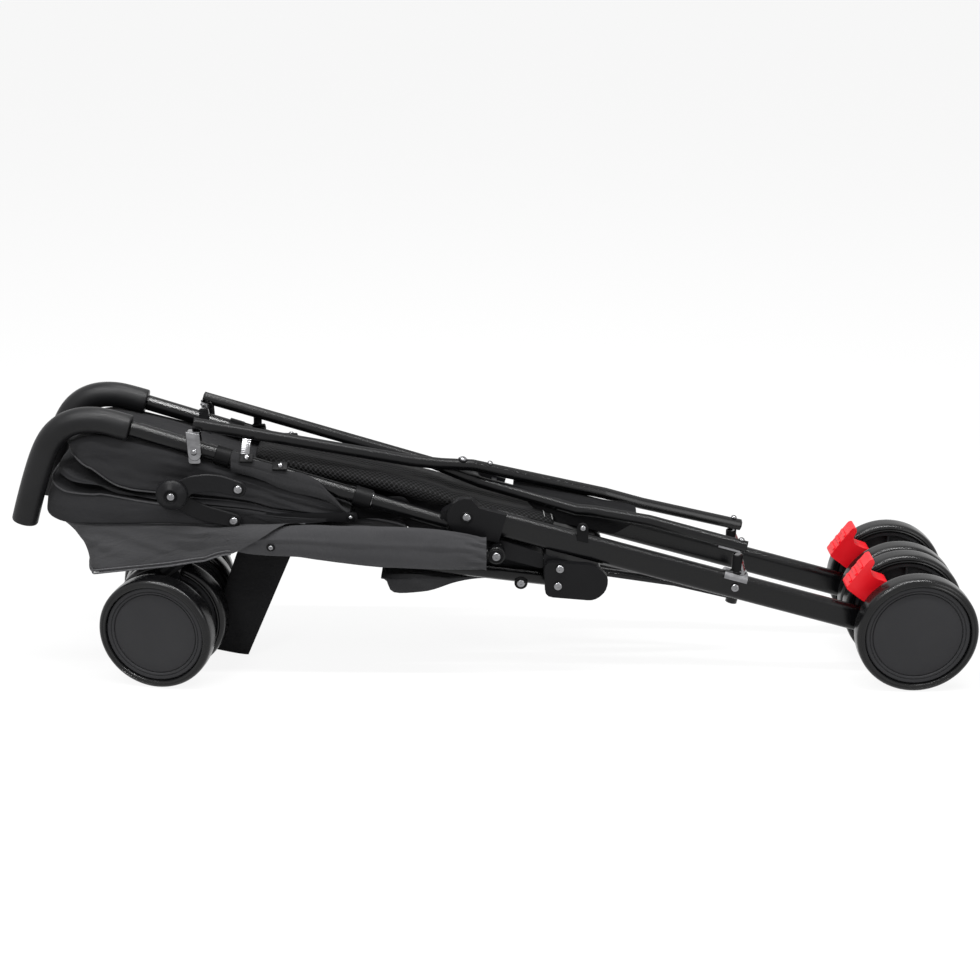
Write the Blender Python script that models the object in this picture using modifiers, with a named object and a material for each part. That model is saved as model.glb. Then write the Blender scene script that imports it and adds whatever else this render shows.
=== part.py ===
"""Compact umbrella stroller, folded and lying on its wheels.

Lengths below are in millimetres and are turned into metres where the meshes are made.
X runs along the folded length, from the handles to the rear wheels. Y runs across, with the
stroller's left side at negative Y. Z is up. The stroller's back faces up, its front faces down.
The origin is on the floor under the middle of the folded stroller.
"""
import math

import bmesh
import bpy
from mathutils import Matrix, Vector

MM = 0.001
X_MID = 0.7                    # the middle of the length, from the datum that the X values use
GAP = 0.35                     # between neighbours that touch

# Main pivots in the side view (X, Z)
FOLD_PIVOT = (-26.0, 199.0)    # rear leg on the handle side joint
SEAT_PIVOT = (7.0, 160.0)      # seat tube on the side joint
KNEE_PIVOT = (77.0, 113.0)     # front leg in the knee housing
TAIL_PIVOT = (-155.0, 199.0)   # canopy bow on the handle side
REAR_AXLE = (480.0, 68.5)
FRONT_AXLE = (-372.0, 66.0)

# Layers across the width, as distances from the middle plane
FRAME_Y = 50.0                 # handle tube, side joint and rear leg
SEAT_Y = 77.5
FRONT_LEG_Y = 38.0
CASTER_Y = 52.0
REAR_WHEEL_Y = (14.0, 86.0)
FRONT_WHEEL_OFFSET = 25.0
FRONT_TOE = math.radians(10.0)

# Sections
HANDLE_R = 9.0
GRIP_R = 14.5
SEAT_R = 6.5
FRONT_LEG_R = 8.0
BAR_R = 7.0
LEG_HEIGHT = 30.0
LEG_WIDTH = 16.0
LEG_SLOPE = -0.2816
LEG_Z0 = 188.8                 # height of the rear leg's axis at X = 0
HANDLE_SLOPE = -0.319
HANDLE_Z0 = 171.6              # height of the handle tube's axis at X = 0
REAR_WHEEL_R = 68.5
FRONT_WHEEL_R = 66.0
WHEEL_WIDTH = 26.0
CASTER_AXIS = (-0.775, -0.632)  # swivel axis in the side view, at rest
CASTER_TOP = (-335.0, 158.0)

for old in list(bpy.data.objects):
    bpy.data.objects.remove(old, do_unlink=True)

STROLLER = bpy.data.collections.new("compact_stroller")
HELPERS = bpy.data.collections.new("cutters")
bpy.context.scene.collection.children.link(STROLLER)
bpy.context.scene.collection.children.link(HELPERS)


def material(name, colour, roughness, metallic=0.0):
    made = bpy.data.materials.new(name)
    made.use_nodes = True
    shader = made.node_tree.nodes["Principled BSDF"]
    shader.inputs["Base Color"].default_value = (*colour, 1.0)
    shader.inputs["Roughness"].default_value = roughness
    shader.inputs["Metallic"].default_value = metallic
    return made


PAINT = material("black_painted_tube", (0.012, 0.012, 0.013), 0.38)
PLASTIC = material("black_plastic", (0.015, 0.015, 0.016), 0.5)
FOAM = material("black_foam", (0.014, 0.014, 0.015), 0.8)
RUBBER = material("black_tyre", (0.013, 0.013, 0.014), 0.42)
HUB = material("dark_grey_hub", (0.032, 0.032, 0.034), 0.45)
STEEL = material("chromed_steel", (0.62, 0.62, 0.63), 0.25, 1.0)
RED = material("red_plastic", (0.62, 0.012, 0.02), 0.4)
CLOTH = material("dark_grey_cloth", (0.018, 0.018, 0.019), 0.85)
GREY_CLOTH = material("mid_grey_cloth", (0.04, 0.04, 0.042), 0.85)
MESH = material("black_mesh_cloth", (0.012, 0.012, 0.012), 0.9)


def metres(point):
    """A point in millimetres from the datum, as a place in the scene."""
    return Vector(((point[0] - X_MID) * MM, point[1] * MM, point[2] * MM))


def leg_z(x):
    return LEG_Z0 + LEG_SLOPE * x


def handle_z(x):
    return HANDLE_Z0 + HANDLE_SLOPE * x


def object_of(name, bm, pivot, stuff, sharp=35.0):
    """An object whose mesh is bm, given in millimetres, with its origin at pivot."""
    bmesh.ops.recalc_face_normals(bm, faces=bm.faces)
    mesh = bpy.data.meshes.new(name)
    bmesh.ops.translate(bm, vec=-Vector(pivot), verts=bm.verts)
    bmesh.ops.scale(bm, vec=(MM, MM, MM), verts=bm.verts)
    bm.to_mesh(mesh)
    bm.free()
    mesh.materials.append(stuff)
    mesh.shade_smooth()
    mesh.set_sharp_from_angle(angle=math.radians(sharp))
    made = bpy.data.objects.new(name, mesh)
    made.location = metres(pivot)
    STROLLER.objects.link(made)
    return made


def box(bm, low, high):
    """Adds a box between two corners."""
    low = Vector(low)
    high = Vector(high)
    size = high - low
    place = Matrix.Translation((low + high) / 2) @ Matrix.Diagonal((*size, 1.0))
    bmesh.ops.create_cube(bm, size=1.0, matrix=place)
    return bm


def rod(bm, start, end, radius, sides=12, end_radius=None):
    """Adds a round rod or cone between two points."""
    start = Vector(start)
    end = Vector(end)
    axis = end - start
    turn = axis.to_track_quat("Z", "Y").to_matrix().to_4x4()
    place = Matrix.Translation((start + end) / 2) @ turn
    bmesh.ops.create_cone(
        bm,
        cap_ends=True,
        segments=sides,
        radius1=radius,
        radius2=radius if end_radius is None else end_radius,
        depth=axis.length,
        matrix=place,
    )
    return bm


def rounded(points, radius, steps=3):
    """The outline with each corner turned into an arc of short runs."""
    out = []
    count = len(points)
    for i in range(count):
        here = Vector(points[i])
        before = (Vector(points[i - 1]) - here)
        after = (Vector(points[(i + 1) % count]) - here)
        cut = min(radius, before.length * 0.45, after.length * 0.45)
        a = here + before.normalized() * cut
        b = here + after.normalized() * cut
        for k in range(steps + 1):
            t = k / steps
            out.append(a * (1 - t) ** 2 + here * 2 * t * (1 - t) + b * t ** 2)
    return out


def outline_mesh(points, y_low, y_high):
    """A flat outline in the side view, given thickness across, as a bmesh in millimetres."""
    curve = bpy.data.curves.new("outline", "CURVE")
    curve.dimensions = "2D"
    curve.fill_mode = "BOTH"
    curve.extrude = (y_high - y_low) / 2
    line = curve.splines.new("POLY")
    line.points.add(len(points) - 1)
    line.use_cyclic_u = True
    for place, point in zip(line.points, points):
        place.co = (point[0], point[1], 0.0, 1.0)
    helper = bpy.data.objects.new("outline", curve)
    HELPERS.objects.link(helper)
    bm = mesh_of(helper)
    turn = Matrix.Translation((0, (y_low + y_high) / 2, 0)) @ Matrix.Rotation(math.pi / 2, 4, "X")
    bmesh.ops.transform(bm, matrix=turn, verts=bm.verts)
    return bm


def mesh_of(helper):
    """The evaluated mesh of a curve with its caps welded. The curve is removed."""
    bpy.context.view_layer.update()
    graph = bpy.context.evaluated_depsgraph_get()
    mesh = bpy.data.meshes.new_from_object(helper.evaluated_get(graph))
    bm = bmesh.new()
    bm.from_mesh(mesh)
    bmesh.ops.remove_doubles(bm, verts=bm.verts, dist=0.001)
    bpy.data.meshes.remove(mesh)
    bpy.data.objects.remove(helper, do_unlink=True)
    return bm


def tube_mesh(points, radius, resolution=2):
    """A round tube along a run of points, as a bmesh in millimetres."""
    curve = bpy.data.curves.new("run", "CURVE")
    curve.dimensions = "3D"
    curve.bevel_depth = radius
    curve.bevel_resolution = resolution
    curve.use_fill_caps = True
    line = curve.splines.new("POLY")
    line.points.add(len(points) - 1)
    for place, point in zip(line.points, points):
        place.co = (*point, 1.0)
    helper = bpy.data.objects.new("run", curve)
    HELPERS.objects.link(helper)
    return mesh_of(helper)


def smooth_run(points, steps=4):
    """Points along a smooth curve through the given ones."""
    pts = [Vector(p) for p in points]
    pts = [pts[0] * 2 - pts[1]] + pts + [pts[-1] * 2 - pts[-2]]
    out = []
    for i in range(1, len(pts) - 2):
        a, b, c, d = pts[i - 1:i + 3]
        for k in range(steps):
            t = k / steps
            out.append(0.5 * (2 * b + (c - a) * t + (2 * a - 5 * b + 4 * c - d) * t ** 2
                              + (3 * b - a - 3 * c + d) * t ** 3))
    out.append(pts[-2])
    return out


def helper_of(bm, name):
    """A hidden operand for a Boolean."""
    made = object_of(name, bm, (X_MID, 0, 0), PAINT)
    STROLLER.objects.unlink(made)
    HELPERS.objects.link(made)
    made.hide_render = True
    made.display_type = "WIRE"
    return made


def join(target, *operands):
    """Unites hidden operands with the target."""
    for number, bm in enumerate(operands):
        step = target.modifiers.new(f"join_{number}", "BOOLEAN")
        step.operation = "UNION"
        step.object = helper_of(bm, f"{target.name}_join_{number}")
    return target


def cut(target, *operands):
    """Cuts hidden operands out of the target."""
    for number, bm in enumerate(operands):
        step = target.modifiers.new(f"cut_{number}", "BOOLEAN")
        step.operation = "DIFFERENCE"
        step.object = helper_of(bm, f"{target.name}_cut_{number}")
    return target


def turned(name, profile, centre, axis, stuff, steps=28):
    """A turned piece: its profile is (radius, height) pairs, its axis points along the given one."""
    mesh = bpy.data.meshes.new(name)
    bm = bmesh.new()
    verts = [bm.verts.new((r * MM, 0.0, h * MM)) for r, h in profile]
    for a, b in zip(verts, verts[1:]):
        bm.edges.new((a, b))
    if profile[0][0] > 0 and profile[-1][0] > 0:
        bm.edges.new((verts[-1], verts[0]))
    bm.to_mesh(mesh)
    bm.free()
    mesh.materials.append(stuff)
    made = bpy.data.objects.new(name, mesh)
    turn = made.modifiers.new("turn", "SCREW")
    turn.steps = steps
    turn.render_steps = steps
    turn.use_merge_vertices = True
    turn.merge_threshold = 0.0001
    turn.use_smooth_shade = True
    made.rotation_mode = "QUATERNION"
    made.rotation_quaternion = Vector(axis).to_track_quat("Z", "X")
    made.location = metres(centre)
    STROLLER.objects.link(made)
    return made


def loft(rings, close_ends=True):
    """A skin over rings of points, all with the same count."""
    bm = bmesh.new()
    rows = [[bm.verts.new(p) for p in ring] for ring in rings]
    count = len(rows[0])
    for low, high in zip(rows, rows[1:]):
        for i in range(count):
            j = (i + 1) % count
            bm.faces.new((low[i], low[j], high[j], high[i]))
    if close_ends:
        bm.faces.new(rows[0][::-1])
        bm.faces.new(rows[-1])
    return bm


def soften(target, levels=1):
    step = target.modifiers.new("soft", "SUBSURF")
    step.levels = levels
    step.render_levels = levels
    return target


def between(table, x):
    """Reads a value at x from a list of (x, value) pairs with rising x."""
    if x <= table[0][0]:
        return table[0][1]
    for (x0, v0), (x1, v1) in zip(table, table[1:]):
        if x <= x1:
            return v0 + (v1 - v0) * (x - x0) / (x1 - x0)
    return table[-1][1]


# Handles


def handle_tube(side, name):
    y = side * FRAME_Y
    start = (-396.0, y, handle_z(-396.0))
    end = (-46.0, y, handle_z(-46.0))
    bm = tube_mesh([start, end], HANDLE_R, 4)
    return object_of(f"{name}_handle_tube", bm, start, PAINT)


def grip(side, name):
    y = side * FRAME_Y
    start = Vector((-396.6, y, handle_z(-396.6)))
    run = [
        start,
        Vector((-422.0, y, 305.4)),
        Vector((-437.5, y, 307.6)),
        Vector((-453.0, y, 306.4)),
        Vector((-467.5, y, 301.2)),
        Vector((-479.0, y, 292.4)),
        Vector((-488.0, y, 280.6)),
        Vector((-496.0, y, 264.8)),
        Vector((-505.0, y, 241.5)),
        Vector((-514.2, y, 214.5)),
        Vector((-522.3, y, 188.6)),
    ]
    bm = tube_mesh(smooth_run(run, 2), GRIP_R, 2)
    return object_of(f"{name}_grip", bm, start, FOAM)


def side_joint(side, name):
    """The fitting on the tube's lower end, with the fold pivot, the seat pivot and the link to the knee."""
    y = side * FRAME_Y
    y_low = y - 8.0
    y_high = y + 8.0
    px, pz = FOLD_PIVOT
    outline = [
        (-55.0, handle_z(-55.0) + 12.0),
        (px - 16.0, pz + 9.0),
        (px - 9.0, pz + 16.0),
        (px + 6.0, pz + 16.0),
        (px + 15.0, pz + 8.0),
        (px + 16.0, pz - 8.0),
        (px + 10.0, pz - 18.0),
        (0.0, 169.0),
        (12.0, 168.5),
        (60.0, 152.0),
        (60.0, 134.0),
        (4.0, 150.0),
        (-30.0, 160.0),
        (-55.0, handle_z(-55.0) - 12.0),
    ]
    body = outline_mesh(rounded(outline, 4.0, 2), y_low, y_high)
    made = object_of(f"{name}_side_joint", body, (px, y, pz), PLASTIC)
    sx, sz = SEAT_PIVOT
    join(
        made,
        rod(bmesh.new(), (px, y, pz), (px, side * 68.5, pz), 4.0),
        rod(bmesh.new(), (sx, y, sz), (sx, side * 70.3, sz), 7.5),
        rod(bmesh.new(), (sx, y, sz), (sx, side * 85.5, sz), 3.2),
    )
    socket = [(-64.0, y, handle_z(-64.0)), (-46.0 + GAP, y, handle_z(-46.0 + GAP))]
    cut(made, tube_mesh(socket, HANDLE_R + GAP, 4))
    return made


def knee(side, name):
    """The housing at the link's lower end: an outer cheek, a block above the front leg and a crossbar tab."""
    kx, kz = KNEE_PIVOT
    cheek = [
        (61.0, 146.0),
        (118.0, 142.0),
        (134.0, 128.0),
        (131.0, 110.0),
        (118.0, 99.0),
        (62.0, 104.0),
    ]
    block = [(60.5, 152.5), (124.0, 134.0), (127.0, 124.0), (60.5, 124.0)]
    y = sorted((side * 68.0, side * 58.6))
    body = outline_mesh(rounded(cheek, 9.0), *y)
    made = object_of(f"{name}_knee", body, (kx, side * FRAME_Y, kz), PLASTIC)
    y_block = sorted((side * 59.5, side * 31.0))
    y_low = sorted((side * 59.5, side * 47.5))
    y_tab = sorted((side * 32.0, side * 15.0))
    tab = [(84.0, 135.0), (102.0, 135.0), (102.0, 126.0), (84.0, 126.0)]
    lower = [(62.0, 126.0), (118.0, 126.0), (124.0, 112.0), (116.0, 101.0), (63.0, 105.0)]
    join(
        made,
        outline_mesh(rounded(block, 3.0, 2), *y_block),
        outline_mesh(rounded(lower, 6.0, 2), *y_low),
        outline_mesh(tab, *y_tab),
        rod(bmesh.new(), (kx, side * 49.0, kz), (kx, side * 31.0, kz), 3.5),
    )
    if side > 0:
        join_post = rod(bmesh.new(), (93.0, side * 22.0, 128.0), (91.9, side * 22.0, 121.0), 4.5, 10)
        step = made.modifiers.new("post", "BOOLEAN")
        step.operation = "UNION"
        step.object = helper_of(join_post, f"{name}_knee_post")
    return made


# Rear legs


def rear_leg(side, name):
    """A flat oval tube: two half rounds joined by straight sides."""
    y = side * FRAME_Y
    start_x = 4.0
    end_x = 446.0
    rings = []
    along = Vector((1.0, 0.0, LEG_SLOPE)).normalized()
    up = Vector((-LEG_SLOPE, 0.0, 1.0)).normalized()
    half = LEG_HEIGHT / 2 - LEG_WIDTH / 2
    for x in (start_x, end_x):
        ring = []
        for k in range(16):
            turn = 2 * math.pi * (k + 0.5) / 16
            rise = math.sin(turn) * LEG_WIDTH / 2
            rise += half if rise > 0 else -half
            ring.append(Vector((x, y + math.cos(turn) * LEG_WIDTH / 2, leg_z(x))) + up * rise)
        rings.append(ring)
    bm = loft(rings)
    return object_of(f"{name}_rear_leg", bm, (FOLD_PIVOT[0], y, FOLD_PIVOT[1]), PAINT)


def leg_cap(side, name):
    """The oval end cap: a cheek outside the side joint that turns on the fold pivot."""
    px, pz = FOLD_PIVOT
    r = 22.0
    arc = [(-12.0, leg_z(-12.0) + 17.6)]
    for k in range(10):
        turn = math.radians(76.0 + 176.0 * k / 9)
        arc.append((px + r * math.cos(turn), pz + r * math.sin(turn)))
    arc.append((-12.0, leg_z(-12.0) - 17.6))
    end_x = 14.0
    up = Vector((-LEG_SLOPE, 1.0)).normalized() * 17.0
    arc += [(end_x - up.x, leg_z(end_x) - up.y), (end_x + up.x, leg_z(end_x) + up.y)]
    y = sorted((side * 66.5, side * 58.7))
    made = object_of(f"{name}_leg_cap", outline_mesh(arc, *y), (px, side * FRAME_Y, pz), PLASTIC)
    block_x = (-2.0, 3.6)
    block = []
    for x, sign in ((block_x[0], 0.9), (block_x[0], -0.9), (block_x[1], -0.9), (block_x[1], 0.9)):
        block.append((x + up.x * sign, leg_z(x) + up.y * sign))
    y_block = sorted((side * 60.0, side * 42.0))
    join(made, outline_mesh(block, *y_block))
    cut(made, rod(bmesh.new(), (px, side * 70.0, pz), (px, side * 55.0, pz), 4.4))
    return made


def axle_housing(side, name):
    """The plastic foot of the rear leg, with the axle, its barrel and the two ears of the brake pedal."""
    y = side * FRAME_Y
    ax, az = REAR_AXLE
    foot = [
        (436.0, leg_z(436.0) + 19.0),
        (462.0, 84.0),
        (486.0, 83.0),
        (492.0, 70.0),
        (488.0, 56.0),
        (470.0, 46.0),
        (432.0, leg_z(432.0) - 19.0),
    ]
    made = object_of(
        f"{name}_axle_housing",
        outline_mesh(rounded(foot, 5.0, 2), y - 11.0, y + 11.0),
        (ax, y, az),
        PLASTIC,
    )
    ear = [(440.0, 80.0), (444.0, 108.0), (450.0, 111.0), (457.0, 107.0), (466.0, 80.0)]
    parts = [rod(bmesh.new(), (ax, side * 28.0, az), (ax, side * 72.0, az), 13.0, 16)]
    parts.append(rod(bmesh.new(), (ax, side * 10.6, az), (ax, side * 89.4, az), 4.0, 12))
    for near, far in ((34.0, 37.4), (62.6, 66.0)):
        parts.append(outline_mesh(rounded(ear, 3.0, 2), *sorted((side * near, side * far))))
    parts.append(outline_mesh([(440.0, 80.0), (441.5, 84.0), (464.0, 84.0), (470.0, 72.0), (446.0, 66.0)],
                              *sorted((side * 34.0, side * 66.0))))
    parts.append(rod(bmesh.new(), (450.0, side * 35.0, 104.0), (450.0, side * 65.0, 104.0), 2.6, 8))
    join(made, *parts)
    start = Vector((420.0, y, leg_z(420.0)))
    along = Vector((1.0, 0.0, LEG_SLOPE)).normalized()
    up = Vector((-LEG_SLOPE, 0.0, 1.0)).normalized()
    half = LEG_HEIGHT / 2 - LEG_WIDTH / 2
    rings = []
    for x in (420.0, 446.0 + GAP):
        ring = []
        for k in range(16):
            turn = 2 * math.pi * (k + 0.5) / 16
            rise = math.sin(turn) * (LEG_WIDTH / 2 + GAP)
            rise += half if rise > 0 else -half
            spot = Vector((x, y + math.cos(turn) * (LEG_WIDTH / 2 + GAP), leg_z(x)))
            ring.append(spot + up * rise)
        rings.append(ring)
    cut(made, loft(rings))
    return made


def wheel(name, centre, axis, radius, out):
    """A tyre and its hub. The hub's plain cap faces out along the axis, and its bore is blind."""
    half = WHEEL_WIDTH / 2
    inner = radius - 11.2
    tyre = [
        (inner, half - 1.2),
        (radius - 6.0, half),
        (radius - 1.4, half - 3.2),
        (radius, half - 8.0),
        (radius, 8.0 - half),
        (radius - 1.4, 3.2 - half),
        (radius - 6.0, -half),
        (inner, 1.2 - half),
    ]
    rim = inner - GAP
    hub = [
        (0.0, half - 4.6),
        (rim - 6.0, half - 4.6),
        (rim - 4.6, half - 1.6),
        (rim, half - 1.6),
        (rim, 2.4 - half),
        (4.5, 2.4 - half),
        (4.5, half - 9.0),
        (0.0, half - 9.0),
    ]
    axis = Vector(axis) * out
    return [
        turned(f"{name}_tyre", tyre, centre, axis, RUBBER),
        turned(f"{name}_hub", hub, centre, axis, HUB),
    ]


def brake_pedal(side, name):
    """The red pedal between the two rear discs: a sloping ribbed plate with a hollow back, on its pin."""
    y = side * FRAME_Y
    wedge = [
        (402.5, 112.0),
        (427.0, 146.5),
        (431.5, 147.5),
        (433.0, 143.0),
        (429.0, 134.5),
        (430.5, 127.5),
        (437.0, 123.5),
        (450.0, 119.0),
        (456.5, 104.0),
        (452.0, 96.5),
        (441.0, 92.0),
        (424.0, 95.5),
    ]
    made = object_of(
        f"{name}_brake_pedal",
        outline_mesh(rounded(wedge, 2.5, 2), y - 12.3, y + 12.3),
        (450.0, y, 104.0),
        RED,
    )
    ribs = []
    along = Vector((24.5, 0.0, 34.5)).normalized()
    outward = Vector((-34.5, 0.0, 24.5)).normalized()
    for k in range(3):
        centre = Vector((402.5, y, 112.0)) + along * (9.5 + 10.0 * k) + outward * 0.1
        bm = bmesh.new()
        turn = Matrix((along, Vector((0, 1, 0)), outward)).transposed().to_4x4()
        place = Matrix.Translation(centre) @ turn @ Matrix.Diagonal((3.4, 21.0, 2.4, 1.0))
        bmesh.ops.create_cube(bm, size=1.0, matrix=place)
        ribs.append(bm)
    join(made, *ribs)
    cut(made, rod(bmesh.new(), (450.0, y - 15.0, 104.0), (450.0, y + 15.0, 104.0), 3.0, 8))
    return made


# Seat tubes and front legs


def seat_tube(side, name):
    y = side * SEAT_Y
    sx, sz = SEAT_PIVOT
    start = (sx - 9.5, y, sz + 0.7)
    end = (-250.0, y, 178.0)
    made = object_of(f"{name}_seat_tube", tube_mesh([start, end], SEAT_R, 2), (sx, y, sz), PAINT)
    join(made, rod(bmesh.new(), (sx, y - 6.4, sz), (sx, y + 6.4, sz), 10.0, 16))
    cut(made, rod(bmesh.new(), (sx, y - 15.0, sz), (sx, y + 15.0, sz), 3.6))
    return made


def caster_point(along, across=0.0):
    """A point on the swivel axis in the side view, with an offset square to it."""
    ax, az = CASTER_AXIS
    return (CASTER_TOP[0] + ax * along - az * across, CASTER_TOP[1] + az * along + ax * across)


def front_leg(side, name):
    """The front leg, with its eye on the knee pin and the caster's block on its other end."""
    y = side * FRONT_LEG_Y
    kx, kz = KNEE_PIVOT
    end = (-318.0, y, 163.0)
    body = tube_mesh([(kx - 8.0, y, kz + 1.0), end], FRONT_LEG_R, 3)
    made = object_of(f"{name}_front_leg", body, (kx, y, kz), PAINT)
    a = caster_point(-22.0)
    b = caster_point(13.0)
    block_y = side * CASTER_Y
    arm = [(-338.0, 176.0), (-306.0, 174.0), (-303.0, 150.0), (-336.0, 148.0)]
    join(
        made,
        rod(bmesh.new(), (kx, y - 6.0, kz), (kx, y + 6.0, kz), 9.0, 16),
        rod(bmesh.new(), (a[0], block_y, a[1]), (b[0], block_y, b[1]), 13.5, 16),
        outline_mesh(rounded(arm, 4.0, 2), *sorted((side * 60.0, side * 27.5))),
    )
    cut(made, rod(bmesh.new(), (kx, y - 15.0, kz), (kx, y + 15.0, kz), 3.9))
    return made


def caster_fork(side, name):
    """The swivelling arm between the two front discs, with its axle."""
    y = side * CASTER_Y
    top = caster_point(13.4)
    low = caster_point(44.0)
    ax, az = FRONT_AXLE
    made = object_of(
        f"{name}_caster_fork",
        rod(bmesh.new(), (top[0], y, top[1]), (low[0], y, low[1]), 11.0, 16),
        (CASTER_TOP[0], y, CASTER_TOP[1]),
        PLASTIC,
    )
    arm = [
        caster_point(22.0, -11.0),
        caster_point(46.0, -11.0),
        (ax - 11.0, az + 12.0),
        (ax - 10.0, az - 9.0),
        (ax + 10.0, az - 9.0),
        (ax + 14.0, az + 16.0),
        caster_point(30.0, 12.0),
    ]
    axis = Vector((-side * math.sin(FRONT_TOE), math.cos(FRONT_TOE), 0.0))
    centre = Vector((ax, y, az))
    join(
        made,
        outline_mesh(arm, y - 7.0, y + 7.0),
        rod(bmesh.new(), centre - axis * 11.2, centre + axis * 11.2, 12.0, 16),
        rod(bmesh.new(), centre - axis * 28.5, centre + axis * 28.5, 4.0, 12),
    )
    return made


# Cross bracing

# Each bar is named for the handle that carries its upper end, and runs from there to the other leg
LEFT_BAR = [
    (-327.0, -50.0, 303.5),
    (-89.0, -15.0, 248.5),
    (-55.0, -9.8, 243.0),
    (-20.0, -4.2, 239.5),
    (133.0, 21.0, 196.5),
    (176.0, 29.0, 181.5),
    (296.0, 50.0, 146.5),
]
RIGHT_BAR = [
    (-330.0, 50.0, 304.0),
    (-69.0, 10.0, 238.5),
    (-11.0, 0.0, 217.5),
    (98.0, -18.5, 191.0),
    (120.0, -22.0, 190.0),
    (180.0, -33.0, 183.0),
    (290.0, -50.0, 157.5),
]
PIN_RISE = 13.2                # the knuckle pin above the handle tube's axis


def brace_bar(points, name):
    bm = tube_mesh([Vector(p) for p in points], BAR_R, 2)
    made = object_of(f"{name}_brace_bar", bm, points[0], PAINT)
    return made


def brace_saddle(side, name, points):
    """A chromed strap round the handle tube, with two ears and the cross pin of the brace knuckle."""
    x = points[0][0]
    y = side * FRAME_Y
    z = handle_z(x)
    ear = [(x - 5.0, z - 15.0), (x + 8.0, z - 15.0), (x + 6.0, z + 17.0), (x - 5.0, z + 17.0)]
    made = object_of(
        f"{name}_brace_saddle",
        box(bmesh.new(), (x - 4.4, y - 11.8, z - 14.4), (x + 7.0, y + 11.8, z - 12.3)),
        (x, y, z),
        STEEL,
    )
    join(
        made,
        outline_mesh(rounded(ear, 2.5, 2), y - 12.2, y - 9.6),
        outline_mesh(rounded(ear, 2.5, 2), y + 9.6, y + 12.2),
        rod(bmesh.new(), (x, y - 11.0, z + PIN_RISE), (x, y + 11.0, z + PIN_RISE), 1.6, 8),
    )
    return made


def brace_knuckle(side, name, points):
    """The small fitting that rocks on the saddle's pin and carries the upper end of a brace bar."""
    x = points[0][0]
    y = side * FRAME_Y
    z = handle_z(x) + PIN_RISE
    barrel = rod(bmesh.new(), (x, y - 8.8, z), (x, y + 8.8, z), 3.4)
    made = object_of(f"{name}_brace_knuckle", barrel, (x, y, z), STEEL)
    join(made, rod(bmesh.new(), (x, y, z + 1.9), (x, y, points[0][2] - BAR_R - 1.6), 3.0, 10))
    cut(made, rod(bmesh.new(), (x, y - 15.0, z), (x, y + 15.0, z), 1.85, 8))
    return made


def leg_bracket(side, name, points):
    """A chromed saddle on the rear leg's upper edge, with the post under the far end of a brace bar."""
    x = points[-1][0] - 10.0
    y = side * FRAME_Y
    z = leg_z(x)
    last = points[-2]
    drop = (points[-1][2] - last[2]) / (points[-1][0] - last[0])
    top = points[-1][2] - 10.0 * drop - BAR_R - 3.9
    along = Vector((1.0, 0.0, LEG_SLOPE)).normalized()
    up = Vector((-LEG_SLOPE, 0.0, 1.0)).normalized()
    crown = LEG_HEIGHT / 2 - LEG_WIDTH / 2
    rings = []
    for shift in (-19.0, 8.0):
        ring = []
        for radius, order in ((LEG_WIDTH / 2 + 3.4, range(9)), (LEG_WIDTH / 2 + GAP, range(8, -1, -1))):
            for k in order:
                turn = math.radians(12.0 + 156.0 * k / 8)
                spot = Vector((x, y + radius * math.cos(turn), z)) + along * shift
                ring.append(spot + up * (crown + radius * math.sin(turn)))
        rings.append(ring)
    made = object_of(f"{name}_leg_bracket", loft(rings), (x, y, z), STEEL)
    foot = Vector((x, y, z))
    join(
        made,
        rod(bmesh.new(), foot + up * 16.6, foot + up * 20.5, 6.5, 12),
        rod(bmesh.new(), foot + up * 19.5, (x, y, top), 4.5, 12),
    )
    return made


CROSS_PIVOT_X = 93.0
CROSS_END = (284.0, 85.0)
CROSS_TILT = math.atan2(-38.0, 191.0)


def crossbar(side, name):
    """One half of the folding lower crossbar: a flat bar from the knee tab to the middle."""
    start = Vector((CROSS_PIVOT_X, side * 22.0, 121.5 if side < 0 else 115.2))
    run = Vector((191.0, -side * 22.0, -38.0))
    along = run.normalized()
    up = Vector((math.sin(-CROSS_TILT), 0.0, math.cos(CROSS_TILT)))
    across = up.cross(along).normalized()
    up = along.cross(across)
    outline = []
    length = run.length
    for k in range(7):
        turn = math.radians(90 + 180 * k / 6)
        outline.append((6.0 * math.cos(turn), 6.0 * math.sin(turn)))
    for k in range(7):
        turn = math.radians(-90 + 180 * k / 6)
        outline.append((length + 6.0 * math.cos(turn), 6.0 * math.sin(turn)))
    rings = []
    for lift in (-2.6, 2.6):
        rings.append([start + along * u + across * v + up * lift for u, v in outline])
    made = object_of(f"{name}_crossbar", loft(rings), start, PAINT)
    end = start + run
    if side > 0:
        join(made, rod(bmesh.new(), end, end - up * 8.0, 7.0, 12))
    else:
        join(made, rod(bmesh.new(), end, end + up * 5.0, 5.0, 12))
    return made


# Canopy side bows and stays

KNOB = (-350.0, 230.0)
KNOB_R = 17.0
STAY_TOP = (-277.0, 236.0)
STAY_LOW = (-284.0, 197.5)


def canopy_bow(side, name):
    """A flat strip along the canopy's lower side seam, turning on the tail pivot."""
    y = sorted((side * 65.6, side * 62.6))
    tx, tz = TAIL_PIVOT
    outline = [
        (tx + 7.0, tz + 5.0),
        (tx + 7.0, tz - 5.0),
        (-300.0, 193.0),
        (-474.0, 199.0),
        (-476.0, 208.0),
        (-300.0, 202.0),
    ]
    body = outline_mesh(rounded(outline, 3.0, 2), *y)
    return object_of(f"{name}_canopy_bow", body, (tx, side * 64.0, tz), PLASTIC)


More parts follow.
